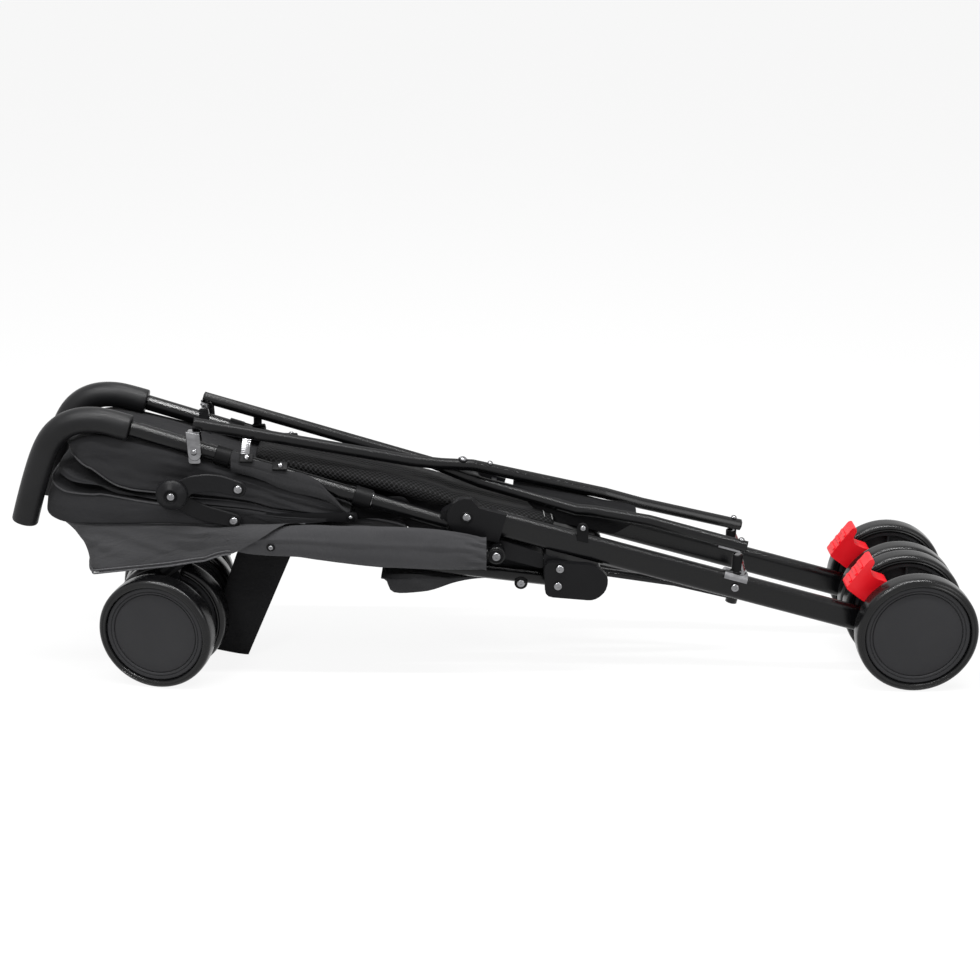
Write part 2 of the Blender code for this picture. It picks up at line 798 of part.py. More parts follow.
def ribbon(line, narrow, wide):
    """The outline of a flat arm along a bent line: round ends, and a little wider between them."""
    run = [Vector((p.x, p.z)) for p in smooth_run([(x, 0.0, z) for x, z in line], 4)]
    last = len(run) - 1
    one_edge = []
    other_edge = []
    for i, here in enumerate(run):
        along = (run[min(last, i + 1)] - run[max(0, i - 1)]).normalized()
        half = narrow + (wide - narrow) * math.sin(math.pi * i / last)
        across = Vector((-along.y, along.x)) * half
        one_edge.append(here + across)
        other_edge.append(here - across)
    head = (run[-1] - run[-2]).normalized()
    tail = (run[0] - run[1]).normalized()
    outline = list(one_edge)
    for end, way in ((run[-1], head), (run[0], tail)):
        across = Vector((-way.y, way.x))
        for k in range(1, 6):
            turn = math.radians(90 - 30 * k)
            outline.append(end + way * narrow * math.cos(turn) + across * narrow * math.sin(turn))
        if end is run[-1]:
            outline += other_edge[::-1]
    return outline


def stay(side, name, word, line, wide, y_in, y_out, knob=False):
    """A flat bent arm with round ends. The upper one has the round knob at its elbow."""
    narrow = 9.0 if knob else 8.0
    body = outline_mesh(ribbon(line, narrow, wide), *sorted((side * y_in, side * y_out)))
    pivot = (line[0][0], side * y_in, line[0][1])
    made = object_of(f"{name}_canopy_stay_{word}", body, pivot, PLASTIC)
    if knob:
        inner = (KNOB[0], side * (y_in + 1.0), KNOB[1])
        middle = (KNOB[0], side * 80.6, KNOB[1])
        outer = (KNOB[0], side * 84.6, KNOB[1])
        join(made, rod(bmesh.new(), inner, middle, KNOB_R, 28))
        base = (KNOB[0], side * 80.0, KNOB[1])
        join(made, rod(bmesh.new(), base, outer, KNOB_R - 0.6, 28, 8.6))
    return made


# Cloth


# Heights of the canopy's upper and lower edge along X, and half its width
CANOPY_TOP = [
    (-499.0, 229.0),
    (-488.0, 249.0),
    (-470.0, 268.0),
    (-455.0, 277.0),
    (-412.0, 282.0),
    (-393.0, 281.0),
    (-317.0, 257.0),
    (-260.0, 239.0),
    (-200.0, 219.0),
    (-168.0, 208.0),
]
CANOPY_LOW = [(-499.0, 211.0), (-470.0, 207.0), (-300.0, 205.0), (-200.0, 204.0), (-168.0, 203.0)]
CANOPY_WIDE = [(-499.0, 25.0), (-488.0, 29.0), (-470.0, 31.0), (-458.0, 44.0), (-444.0, 57.0), (-430.0, 58.0)]


def canopy():
    """The folded canopy: a bundle between the handle tubes, with pleats that fan out from the tail."""
    rings = []
    stations = [-168.0, -200.0, -240.0, -285.0, -330.0, -372.0, -410.0, -438.0]
    stations += [-458.0, -472.0, -488.0, -499.0]
    rise = 9
    for x in stations:
        far = min(1.0, (-150.0 - x) / 250.0)
        if x < -460.0:
            far = 0.4
        top = between(CANOPY_TOP, x)
        low = between(CANOPY_LOW, x)
        wide = between(CANOPY_WIDE, x)
        ring = []
        for k in range(rise):
            f = k / (rise - 1)
            fold = (4.5 if k % 2 else -1.5) * far
            inset = 5.0 * far if k in (0, rise - 1) else 0.0
            ring.append((x, -(wide - 4.0 + fold - inset), low + (top - low) * f))
        for k in range(rise):
            f = 1 - k / (rise - 1)
            fold = (4.5 if k % 2 else -1.5) * far
            inset = 5.0 * far if k in (0, rise - 1) else 0.0
            ring.append((x, wide - 4.0 + fold - inset, low + (top - low) * f))
        rings.append(ring)
    return soften(object_of("canopy", loft(rings), (-155.0, 0.0, 199.0), CLOTH, 60.0))


# Heights of the visor's upper and lower edge along X
VISOR_TOP = [(-502.0, 205.0), (-480.0, 204.0), (-433.0, 198.0), (-320.0, 190.0), (-262.0, 184.0)]
VISOR_LOW = [
    (-502.0, 188.0),
    (-480.0, 178.0),
    (-466.0, 156.0),
    (-452.0, 134.0),
    (-425.0, 137.0),
    (-400.0, 140.0),
    (-336.0, 149.0),
    (-300.0, 160.0),
    (-262.0, 173.0),
]


def canopy_visor():
    """The lower canopy panel: a skirt round three sides, with soft vertical folds and a deep front corner."""
    path = []
    for k, x in enumerate([-267.0, -290.0, -318.0, -346.0, -374.0, -400.0, -425.0, -444.0, -456.0, -468.0]):
        path.append((x, -71.5 - 1.2 * (k % 2), x))
    path += [(-477.0, -66.0, -478.0), (-482.0, -52.0, -484.0)]
    path += [(-488.0, -34.0, -491.0), (-499.0, -12.0, -502.0)]
    path += [(x, -y, s) for x, y, s in reversed(path)]
    rows = []
    bm = bmesh.new()
    for x, y, s in path:
        top = between(VISOR_TOP, s)
        low = between(VISOR_LOW, s)
        column = []
        for k in range(5):
            f = k / 4
            bulge = math.sin(math.pi * f) * 1.6
            column.append(bm.verts.new((x, y * (1 + bulge / 72.0), top + (low - top) * f)))
        rows.append(column)
    for a, b in zip(rows, rows[1:]):
        for k in range(4):
            bm.faces.new((a[k], a[k + 1], b[k + 1], b[k]))
    made = object_of("canopy_visor", bm, (-155.0, 0.0, 199.0), GREY_CLOTH, 60.0)
    skin = made.modifiers.new("skin", "SOLIDIFY")
    skin.thickness = 2.6 * MM
    skin.offset = 0.0
    return made


def seat_line(x):
    """Height of the seat tube's axis."""
    sx, sz = SEAT_PIVOT
    return sz + (178.0 - sz) * (x - sx) / (-250.0 - sx)


def sleeve_mesh(side):
    """The seat cloth's sleeve round one seat tube, drawn in at its gathered end."""
    rings = []
    sections = [
        (-258.0, 17.0, 8.0),
        (-240.0, 22.0, 10.0),
        (-190.0, 23.5, 10.2),
        (-130.0, 23.5, 10.4),
        (-70.0, 24.5, 10.2),
        (-30.0, 24.5, 9.8),
        (-14.0, 21.0, 9.2),
        (-6.0, 15.0, 8.6),
    ]
    for x, tall, wide in sections:
        ring = []
        for k in range(14):
            turn = 2 * math.pi * k / 14
            crease = 1.0 if k % 7 else 0.94
            y = side * (SEAT_Y + 0.2) + wide * math.cos(turn)
            ring.append((x, y, seat_line(x) + 3.0 + tall * math.sin(turn) * crease))
        rings.append(ring)
    return loft(rings)


def seat_sling():
    """The seat cloth: a sleeve on each seat tube and the folded sling between them."""
    sx, sz = SEAT_PIVOT
    made = object_of("seat_sling", sleeve_mesh(-1), (sx, 0.0, sz), GREY_CLOTH, 60.0)
    section = [
        (-236.0, 176.0),
        (-236.0, 184.0),
        (-170.0, 187.0),
        (-110.0, 182.0),
        (-94.0, 176.0),
        (-94.0, 170.0),
        (-112.0, 163.0),
        (-170.0, 168.0),
    ]
    rings = []
    for y in (-72.0, -50.0, -25.0, 0.0, 25.0, 50.0, 72.0):
        drop = 5.0 * math.cos(math.pi * y / 144.0)
        rings.append([(x, y, z - drop * 0.4) for x, z in section])
    bores = []
    for side in (-1, 1):
        y = side * SEAT_Y
        bores.append(tube_mesh([(-252.0, y, seat_line(-252.0)), (5.0, y, seat_line(5.0))], SEAT_R + 1.0, 2))
        bores.append(rod(bmesh.new(), (sx, y - 15.0, sz), (sx, y + 15.0, sz), 11.5, 16))
    join(made, sleeve_mesh(1), loft(rings))
    cut(made, *bores)
    return made


def seat_flap():
    """The small bunch of seat cloth that hangs under the front legs."""
    rings = []
    shape = [
        (-118.0, 117.0, 99.5, 50.0),
        (-104.0, 119.0, 97.5, 53.0),
        (-78.0, 118.0, 98.5, 53.0),
        (-54.0, 116.0, 101.0, 46.0),
        (-26.0, 113.5, 106.0, 34.0),
        (0.0, 112.0, 109.0, 26.0),
    ]
    for x, top, low, wide in shape:
        ring = []
        mid = (top + low) / 2
        half = (top - low) / 2
        for k in range(20):
            turn = 2 * math.pi * (k + 0.5) / 20
            across = math.copysign(abs(math.cos(turn)) ** 0.5, math.cos(turn))
            height = math.copysign(abs(math.sin(turn)) ** 0.5, math.sin(turn))
            fold = 1.0 if k % 2 else 0.9
            ring.append((x, wide * across, mid + half * height * fold))
        rings.append(ring)
    return object_of("seat_flap", loft(rings), (0.0, 0.0, 110.0), CLOTH, 60.0)


def backrest():
    """The folded mesh back between the handle tubes, with long folds."""
    middle = [(-262.0, 258.0), (-100.0, 221.0), (0.0, 194.5), (72.0, 178.5)]
    rings = []
    for x in (-262.0, -220.0, -160.0, -100.0, -40.0, 20.0, 72.0):
        thick = 9.0 if x < -50 else 6.0
        ring = []
        for k in range(7):
            y = -37.0 + 74.0 * k / 6
            ring.append((x, y, between(middle, x) + thick + (1.6 if k % 2 else -1.6)))
        for k in range(7):
            y = 37.0 - 74.0 * k / 6
            ring.append((x, y, between(middle, x) - thick + (1.6 if k % 2 else -1.6)))
        rings.append(ring)
    return object_of("backrest_mesh", loft(rings), (-26.0, 0.0, 199.0), MESH, 60.0)


def footrest_panel():
    """The calf panel, folded in half and hanging edge on between the front wheels."""
    rings = []
    for f, y in ((0.0, -6.0), (0.14, -7.6), (0.2, -5.4), (0.45, -6.6), (0.75, -5.6), (1.0, -6.4)):
        right = (-231.0 - 54.0 * f, 128.0 - 124.6 * f)
        left = (-290.0 - 46.5 * f, 142.0 - 127.0 * f)
        ring = []
        for g in (0.0, 0.35, 0.7, 1.0):
            x = left[0] + (right[0] - left[0]) * g
            z = left[1] + (right[1] - left[1]) * g
            ring.append((x, y - 2.2 - 1.0 * math.sin(math.pi * g), z))
        for g in (1.0, 0.7, 0.35, 0.0):
            x = left[0] + (right[0] - left[0]) * g
            z = left[1] + (right[1] - left[1]) * g
            ring.append((x, y + 2.2 - 1.0 * math.sin(math.pi * g), z))
        rings.append(ring)
    return object_of("footrest_panel", loft(rings), (-240.0, -6.0, 130.0), CLOTH, 60.0)


# Assembly

for side, name in ((-1, "left"), (1, "right")):
    handle_tube(side, name)
    grip(side, name)
    side_joint(side, name)
    knee(side, name)
    rear_leg(side, name)
    leg_cap(side, name)
    axle_housing(side, name)
    brake_pedal(side, name)
    for word, y in zip(("inner", "outer"), REAR_WHEEL_Y):
        out = 1 if word == "outer" else -1
        wheel(f"{name}_rear_{word}", (REAR_AXLE[0], side * y, REAR_AXLE[1]), (0, side, 0), REAR_WHEEL_R, out)
    seat_tube(side, name)
    front_leg(side, name)
    caster_fork(side, name)
    axis = Vector((-side * math.sin(FRONT_TOE), math.cos(FRONT_TOE), 0.0)) * side
    for word, shift in (("inner", -FRONT_WHEEL_OFFSET), ("outer", FRONT_WHEEL_OFFSET)):
        out = 1 if word == "outer" else -1
        centre = Vector((FRONT_AXLE[0], side * CASTER_Y, FRONT_AXLE[1])) + axis * shift
        wheel(f"{name}_front_{word}", centre, axis, FRONT_WHEEL_R, out)
    crossbar(side, name)
    canopy_bow(side, name)
    stay(side, name, "upper", [STAY_TOP, (-301.0, 242.5), (-327.0, 241.0), KNOB], 10.4, 74.0, 77.5, knob=True)
    stay(side, name, "lower", [KNOB, (-336.0, 216.0), (-316.0, 206.5), STAY_LOW], 9.6, 69.6, 73.4)

brace_bar(LEFT_BAR, "left")
brace_bar(RIGHT_BAR, "right")
for side, name, bar in ((-1, "left", LEFT_BAR), (1, "right", RIGHT_BAR)):
    brace_saddle(side, name, bar)
    brace_knuckle(side, name, bar)
leg_bracket(1, "right", LEFT_BAR)
leg_bracket(-1, "left", RIGHT_BAR)
canopy()
canopy_visor()
seat_sling()
seat_flap()
backrest()
footrest_panel()
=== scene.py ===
"""Compact umbrella stroller, folded and lying on its wheels: finishes, cloth and small fittings.

Lengths are in millimetres from the same datum as the solids, and become metres where meshes are made.
X runs along the folded length, Y across it with the stroller's left side negative, Z is up.
"""
import math

import bmesh
import bpy
from mathutils import Matrix, Vector, noise


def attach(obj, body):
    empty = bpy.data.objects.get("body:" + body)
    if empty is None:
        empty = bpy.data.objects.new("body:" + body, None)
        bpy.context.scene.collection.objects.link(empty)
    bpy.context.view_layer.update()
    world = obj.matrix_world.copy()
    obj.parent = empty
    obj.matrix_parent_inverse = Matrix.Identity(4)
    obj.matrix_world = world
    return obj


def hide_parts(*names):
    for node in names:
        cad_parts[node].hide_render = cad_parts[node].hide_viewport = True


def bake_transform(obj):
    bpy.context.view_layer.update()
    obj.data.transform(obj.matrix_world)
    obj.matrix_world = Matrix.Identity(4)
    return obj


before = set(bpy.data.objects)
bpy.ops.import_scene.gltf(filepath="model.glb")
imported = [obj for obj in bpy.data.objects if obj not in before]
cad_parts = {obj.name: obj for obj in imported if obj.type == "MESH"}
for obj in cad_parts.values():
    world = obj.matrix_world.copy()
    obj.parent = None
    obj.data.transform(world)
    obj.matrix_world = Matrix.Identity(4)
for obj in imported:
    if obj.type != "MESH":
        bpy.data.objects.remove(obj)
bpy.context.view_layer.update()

MM = 0.001
X_MID = 0.7

# Axles, pivots and sections, as in the solids
REAR_AXLE = (480.0, 68.5)
FRONT_AXLE = (-372.0, 66.0)
FRAME_Y = 50.0
SEAT_Y = 77.5
CASTER_Y = 52.0
REAR_WHEEL_Y = (14.0, 86.0)
FRONT_WHEEL_OFFSET = 25.0
FRONT_TOE = math.radians(10.0)
REAR_WHEEL_R = 68.5
FRONT_WHEEL_R = 66.0
KNOB = (-350.0, 230.0)
STAY_TOP = (-277.0, 236.0)
STAY_LOW = (-284.0, 197.5)
SIDES = ((-1, "left"), (1, "right"))


def handle_z(x):
    return 171.6 - 0.319 * x


def leg_z(x):
    return 188.8 - 0.2816 * x


def drift(x, y, z):
    """Smooth noise at a place."""
    return noise.noise(Vector((x, y, z)))


# Camera, floor and light

CAMERA_PLACE = (-0.0007, -1.8853, 0.8756)
CAMERA_TILT = math.radians(70.5)
LENS = 64.1
AIM = (0.0, 0.0, 0.2)
# Name, place, aim, size, power, and the second size of a long lamp
LAMPS = [
    ("key", (-1.0, -1.6, 2.0), AIM, 0.9, 26.0, None),
    ("top", (0.2, 0.2, 2.7), AIM, 2.2, 40.0, 0.7),
    ("side", (1.8, -1.6, 0.9), (0.3, 0.0, 0.15), 0.8, 8.0, None),
    ("strip", (0.0, -0.6, 2.2), AIM, 3.0, 62.0, 0.05),
]


def placed(name, data):
    made = bpy.data.objects.new(name, data)
    bpy.context.scene.collection.objects.link(made)
    return made


def camera():
    eye = bpy.data.cameras.new("camera")
    eye.sensor_width = 36.0
    eye.lens = LENS
    eye.clip_end = 60.0
    held = placed("camera", eye)
    held.location = CAMERA_PLACE
    held.rotation_euler = (CAMERA_TILT, 0.0, 0.0)
    bpy.context.scene.camera = held


def lamp(name, place, aim, size, power, size_y):
    light = bpy.data.lights.new(name, "AREA")
    light.energy = power
    light.size = size
    if size_y:
        light.shape = "RECTANGLE"
        light.size_y = size_y
    made = placed(name, light)
    made.location = place
    made.rotation_euler = (Vector(aim) - Vector(place)).to_track_quat("-Z", "Y").to_euler()


def math_node(tree, operation, a, b=None):
    made = tree.nodes.new("ShaderNodeMath")
    made.operation = operation
    for socket, value in zip(made.inputs, (a, b)):
        if isinstance(value, (int, float)):
            socket.default_value = value
        elif value is not None:
            tree.links.new(value, socket)
    return made.outputs[0]


def white_for_rays(tree, shader, amount):
    """Adds plain white to what the camera and the gloss see, and returns the sum's socket."""
    path = tree.nodes.new("ShaderNodeLightPath")
    seen = math_node(tree, "MAXIMUM", path.outputs["Is Camera Ray"], path.outputs["Is Glossy Ray"])
    seen = math_node(tree, "MAXIMUM", seen, path.outputs["Is Transmission Ray"])
    glow = tree.nodes.new("ShaderNodeEmission")
    glow.inputs["Color"].default_value = (1.0, 1.0, 1.0, 1.0)
    glow.inputs["Strength"].default_value = 1.0
    mix = tree.nodes.new("ShaderNodeMixShader")
    tree.links.new(math_node(tree, "MULTIPLY", seen, amount), mix.inputs["Fac"])
    tree.links.new(shader, mix.inputs[1])
    tree.links.new(glow.outputs[0], mix.inputs[2])
    return mix.outputs[0]


def stage():
    mesh = bpy.data.meshes.new("floor")
    bm = bmesh.new()
    bmesh.ops.create_grid(bm, x_segments=1, y_segments=1, size=30.0)
    bm.to_mesh(mesh)
    bm.free()
    floor = placed("floor", mesh)
    floor.location.z = -0.0002
    paint = bpy.data.materials.new("floor_white")
    paint.use_nodes = True
    tree = paint.node_tree
    shader = tree.nodes["Principled BSDF"]
    shader.inputs["Base Color"].default_value = (0.9, 0.9, 0.9, 1.0)
    shader.inputs["Roughness"].default_value = 0.9
    shader.inputs["Specular IOR Level"].default_value = 0.1
    out = tree.nodes["Material Output"]
    tree.links.new(white_for_rays(tree, shader.outputs[0], 0.9), out.inputs["Surface"])
    mesh.materials.append(paint)
    world = bpy.data.worlds.new("studio")
    world.use_nodes = True
    tree = world.node_tree
    sky = tree.nodes["Background"]
    sky.inputs["Color"].default_value = (1.0, 1.0, 1.0, 1.0)
    sky.inputs["Strength"].default_value = 0.3
    out = tree.nodes["World Output"]
    tree.links.new(white_for_rays(tree, sky.outputs[0], 1.0), out.inputs["Surface"])
    bpy.context.scene.world = world
    for row in LAMPS:
        lamp(*row)


camera()
stage()
bpy.context.scene.view_settings.view_transform = "Standard"


# Finishes


class Finish:
    """Builds one node material step by step."""

    def __init__(self, name, colour, roughness, metallic=0.0, **sockets):
        self.made = bpy.data.materials.new(name)
        self.made.use_nodes = True
        self.tree = self.made.node_tree
        self.shader = self.tree.nodes["Principled BSDF"]
        self.colour = colour
        self.shader.inputs["Base Color"].default_value = (*colour, 1.0)
        self.shader.inputs["Roughness"].default_value = roughness
        self.shader.inputs["Metallic"].default_value = metallic
        for key, value in sockets.items():
            self.shader.inputs[key.replace("_", " ")].default_value = value
        self.roughness = roughness
        self.normal = None
        self.coords = self.tree.nodes.new("ShaderNodeTexCoord")
        self.tint = None

    def node(self, kind, **values):
        made = self.tree.nodes.new(kind)
        for key, value in values.items():
            setattr(made, key, value)
        return made

    def filled(self, kind, **sockets):
        made = self.tree.nodes.new(kind)
        for key, value in sockets.items():
            made.inputs[key.replace("_", " ")].default_value = value
        return made

    def link(self, a, b):
        self.tree.links.new(a, b)

    def mapped(self, scale, uv=False):
        made = self.filled("ShaderNodeMapping", Scale=scale)
        self.link(self.coords.outputs["UV" if uv else "Object"], made.inputs["Vector"])
        return made.outputs[0]

    def noise(self, scale, detail=3.0, rough=0.55, stretch=(1.0, 1.0, 1.0), uv=False, twist=0.0):
        settings = {"Scale": scale, "Detail": detail, "Roughness": rough, "Distortion": twist}
        made = self.filled("ShaderNodeTexNoise", **settings)
        self.link(self.mapped(stretch, uv), made.inputs["Vector"])
        return made.outputs["Fac"]

    def ramp(self, source, low, high, out_low=0.0, out_high=1.0):
        made = self.filled("ShaderNodeMapRange", From_Min=low, From_Max=high, To_Min=out_low, To_Max=out_high)
        self.link(source, made.inputs["Value"])
        return made.outputs["Result"]

    def math(self, operation, a, b=None):
        return math_node(self.tree, operation, a, b)

    def shade(self, source, colour, amount=1.0):
        """Mixes another colour over the base where source is high."""
        made = self.node("ShaderNodeMix", data_type="RGBA")
        made.inputs["B"].default_value = (*colour, 1.0)
        if self.tint is None:
            made.inputs["A"].default_value = (*self.colour, 1.0)
        else:
            self.link(self.tint, made.inputs["A"])
        self.link(self.math("MULTIPLY", source, amount), made.inputs["Factor"])
        self.tint = made.outputs["Result"]
        self.link(self.tint, self.shader.inputs["Base Color"])

    def rough(self, source, spread):
        low = max(0.04, self.roughness - spread)
        made = self.ramp(source, 0.25, 0.75, low, min(1.0, self.roughness + spread))
        self.link(made, self.shader.inputs["Roughness"])

    def bump(self, source, distance, strength=1.0):
        """Adds a bump layer. Distance is the height in metres."""
        made = self.filled("ShaderNodeBump", Strength=strength, Distance=distance)
        self.link(source, made.inputs["Height"])
        if self.normal is not None:
            self.link(self.normal, made.inputs["Normal"])
        self.normal = made.outputs[0]
        self.link(self.normal, self.shader.inputs["Normal"])

    def crossed(self, first, second, pitch):
        """The product of two sine waves along two sockets."""
        a = self.math("SINE", self.math("MULTIPLY", first, 2 * math.pi / pitch))
        b = self.math("SINE", self.math("MULTIPLY", second, 2 * math.pi / pitch))
        return self.math("MULTIPLY", a, b)

    def across_and_along(self):
        split = self.node("ShaderNodeSeparateXYZ")
        self.link(self.coords.outputs["UV"], split.inputs[0])
        return split.outputs[0], split.outputs[1]


def hard(name, colour, roughness, gloss, wear, colour_patches, grain=(), metallic=0.0):
    """A hard finish: uneven roughness, patches of other colours and fine relief, each from its own noise; on
    the chrome those patches are painted reflections.
    """
    f = Finish(name, colour, roughness, metallic, Specular_IOR_Level=gloss)
    pattern, spread = wear
    f.rough(f.noise(*pattern), spread)
    for pattern, low, high, tint, amount in colour_patches:
        f.shade(f.ramp(f.noise(*pattern), low, high), tint, amount)
    for pattern, height, strength in grain:
        f.bump(f.noise(*pattern), height, strength)
    return f


def painted_tube():
    """Satin paint, with the tubes' facets rounded in its normals."""
    f = hard("satin_black_paint", (0.0022, 0.0022, 0.0025), 0.17, 0.26, ((38.0, 4.0), 0.012),
             [((160.0, 6.0, 0.7, (1.0, 4.0, 4.0)), 0.7, 0.8, (0.012, 0.012, 0.013), 0.3)])
    rounded = f.node("ShaderNodeBevel", samples=6)
    rounded.inputs["Radius"].default_value = 0.004
    f.normal = rounded.outputs[0]
    f.bump(f.noise(1400.0, 2.0), 0.000012, 0.25)
    return f.made


def moulded(name, colour, roughness):
    colour_patches = [((24.0, 4.0), 0.35, 0.75, tuple(c * 1.5 + 0.0006 for c in colour), 0.5)]
    grain = [((2600.0, 1.0), 0.00006, 0.5)]
    return hard(name, colour, roughness, 0.1, ((60.0, 3.0), 0.08), colour_patches, grain).made


def foam():
    f = hard("grip_foam", (0.005, 0.005, 0.0055), 0.4, 0.2, ((55.0, 3.0), 0.08),
             [((14.0, 3.0), 0.35, 0.7, (0.0095, 0.0095, 0.0102), 0.6)])
    cells = f.node("ShaderNodeTexVoronoi", feature="F1")
    cells.inputs["Scale"].default_value = 1500.0
    f.link(f.mapped((1.0, 1.0, 1.0)), cells.inputs["Vector"])
    f.bump(cells.outputs["Distance"], 0.0001, 0.35)
    f.bump(f.noise(420.0, 3.0), 0.00012, 0.3)
    return f.made


def woven(name, colour, light):
    """Plain woven polyester: fine threads, small creases and a soft sheen."""
    f = Finish(name, colour, 0.78, Specular_IOR_Level=0.03, Sheen_Weight=0.03, Sheen_Roughness=0.45)
    f.rough(f.noise(40.0, 3.0, uv=True), 0.07)
    f.shade(f.ramp(f.noise(9.0, 5.0, 0.6, uv=True), 0.3, 0.75), light, 0.55)
    threads = f.noise(1500.0, 2.0, 0.5, (0.08, 1.0, 1.0), uv=True)
    f.shade(f.ramp(threads, 0.5, 0.8), light, 0.4)
    f.bump(f.noise(22.0, 4.0, 0.5, (1.0, 2.4, 1.0), uv=True, twist=0.8), 0.006, 0.42)
    f.bump(f.noise(120.0, 3.0, 0.5, (1.0, 1.8, 1.0), uv=True), 0.0012, 0.35)
    f.bump(f.crossed(*f.across_and_along(), THREAD_PITCH), 0.00012, 0.35)
    return f.made


def knitted_mesh():
    """An open spacer mesh: diamond holes between crossing yarns."""
    f = Finish("black_spacer_mesh", (0.0165, 0.0165, 0.0172), 0.6, Specular_IOR_Level=0.08)
    u, v = f.across_and_along()
    holes = f.math("ABSOLUTE", f.crossed(f.math("ADD", u, v), f.math("SUBTRACT", u, v), MESH_PITCH))
    f.shade(f.ramp(holes, 0.12, 0.4), (0.001, 0.001, 0.001), 1.0)
    f.rough(f.noise(900.0, 2.0, 0.5, uv=True), 0.1)
    f.bump(f.ramp(holes, 0.15, 0.6, 1.0, 0.0), 0.0007, 0.8)
    f.bump(f.noise(30.0, 3.0, uv=True), 0.003, 0.3)
    return f.made


def ribbed_trim_and_highlight(name, colour):
    """Ribbed tape and piping, and the lighter rolls along the canopy's pleat ridges that are painted
    highlights.
    """
    f = Finish(name, colour, 0.6, Specular_IOR_Level=0.06, Sheen_Weight=0.03, Sheen_Roughness=0.4)
    ribs = f.noise(900.0, 2.0, 0.5)
    f.rough(ribs, 0.08)
    f.shade(f.ramp(f.noise(300.0, 3.0), 0.45, 0.75), tuple(c * 1.8 for c in colour), 0.5)
    f.bump(ribs, 0.0002, 0.4)
    return f.made


# Metres from thread to thread, and from hole to hole of the mesh
THREAD_PITCH = 0.0009
MESH_PITCH = 0.0112

PAINT = painted_tube()
PLASTIC = moulded("black_moulded_plastic", (0.0048, 0.0048, 0.0053), 0.38)
DARK_PLASTIC = moulded("black_fitting_plastic", (0.0026, 0.0026, 0.0029), 0.45)
STAY = moulded("canopy_stay_plastic", (0.0062, 0.0062, 0.0068), 0.34)
STAY_DARK = moulded("lower_stay_plastic", (0.0042, 0.0042, 0.0046), 0.42)
FOAM = foam()
RUBBER = hard("tyre_rubber", (0.0026, 0.0026, 0.0029), 0.24, 0.28, ((45.0, 4.0), 0.09),
              [((30.0, 5.0, 0.6), 0.5, 0.8, (0.0065, 0.0065, 0.0066), 0.5)],
              [((900.0, 3.0), 0.00006, 0.35)]).made
CAP = hard("wheel_cap_plastic", (0.021, 0.021, 0.0225), 0.5, 0.1, ((30.0, 3.0), 0.07),
           [((12.0, 4.0), 0.35, 0.75, (0.027, 0.027, 0.0285), 0.6)], [((2400.0, 2.0), 0.00005, 0.5)]).made
# The chrome's two darker patch layers are painted reflections, of surroundings darker than the plain white
# that the chrome mirrors.
CHROME = hard("chromed_steel", (0.24, 0.24, 0.248), 0.22, 0.5, ((120.0, 4.0), 0.07),
              [((60.0, 2.0, 0.5, (1.0, 1.0, 1.6), False, 1.0), 0.4, 0.7, (0.14, 0.14, 0.145), 0.8),
               ((420.0, 4.0, 0.7), 0.58, 0.75, (0.2, 0.2, 0.205), 0.5)],
              [((300.0, 3.0, 0.5, (1.0, 6.0, 6.0)), 0.00003, 0.4)], 1.0).made
RED = hard("red_pedal_plastic", (0.6, 0.005, 0.011), 0.34, 0.24, ((70.0, 3.0), 0.08),
           [((50.0, 4.0), 0.4, 0.75, (0.68, 0.03, 0.04), 0.35)], [((1500.0, 2.0), 0.00005, 0.4)]).made
CANOPY = woven("canopy_cloth", (0.0165, 0.0165, 0.0175), (0.024, 0.024, 0.0252))
WRAP = woven("canopy_wrap_cloth", (0.0185, 0.0185, 0.0195), (0.027, 0.027, 0.028))
VISOR = woven("lower_canopy_cloth", (0.039, 0.039, 0.0408), (0.05, 0.05, 0.0522))
GREY = woven("grey_seat_cloth", (0.036, 0.036, 0.038), (0.047, 0.047, 0.049))
DARK_GREY = woven("dark_grey_seat_cloth", (0.0125, 0.0125, 0.0132), (0.018, 0.018, 0.019))
FLAP = woven("flap_cloth", (0.022, 0.022, 0.023), (0.031, 0.031, 0.0325))
DARK = woven("dark_flap_cloth", (0.0085, 0.0085, 0.009), (0.013, 0.013, 0.0138))
MESH = knitted_mesh()
PIPING = ribbed_trim_and_highlight("grey_piping", (0.07, 0.07, 0.073))
# A lighter roll of cloth along the canopy's pleat ridges: a painted highlight
PLEAT_HIGHLIGHT = ribbed_trim_and_highlight("pleat_painted_highlight", (0.034, 0.034, 0.0355))
DARK_TAPE = ribbed_trim_and_highlight("black_tape", (0.0085, 0.0085, 0.009))
LABEL_THREAD = ribbed_trim_and_highlight("light_thread", (0.2, 0.2, 0.2))

# The finish of each solid that shows, by its name without the side
CAD_FINISH = {
    "handle_tube": PAINT, "rear_leg": PAINT, "seat_tube": PAINT, "front_leg": PAINT, "brace_bar": PAINT,
    "crossbar": PAINT, "side_joint": PLASTIC, "knee": PLASTIC, "leg_cap": PLASTIC, "axle_housing": PLASTIC,
    "caster_fork": PLASTIC, "canopy_bow": PLASTIC, "canopy_stay_upper": STAY, "canopy_stay_lower": STAY_DARK,
    "grip": FOAM, "brake_pedal": RED, "brace_saddle": CHROME, "brace_knuckle": CHROME, "leg_bracket": CHROME,
}
for name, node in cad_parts.items():
    kind = name.split("_", 1)[1] if name.startswith(("left_", "right_")) else name
    if kind in CAD_FINISH:
        node.data.materials.clear()
        node.data.materials.append(CAD_FINISH[kind])


# Making pieces

# Degrees between two faces of cloth from which their edge is drawn sharp
CLOTH_SHARP = 70.0


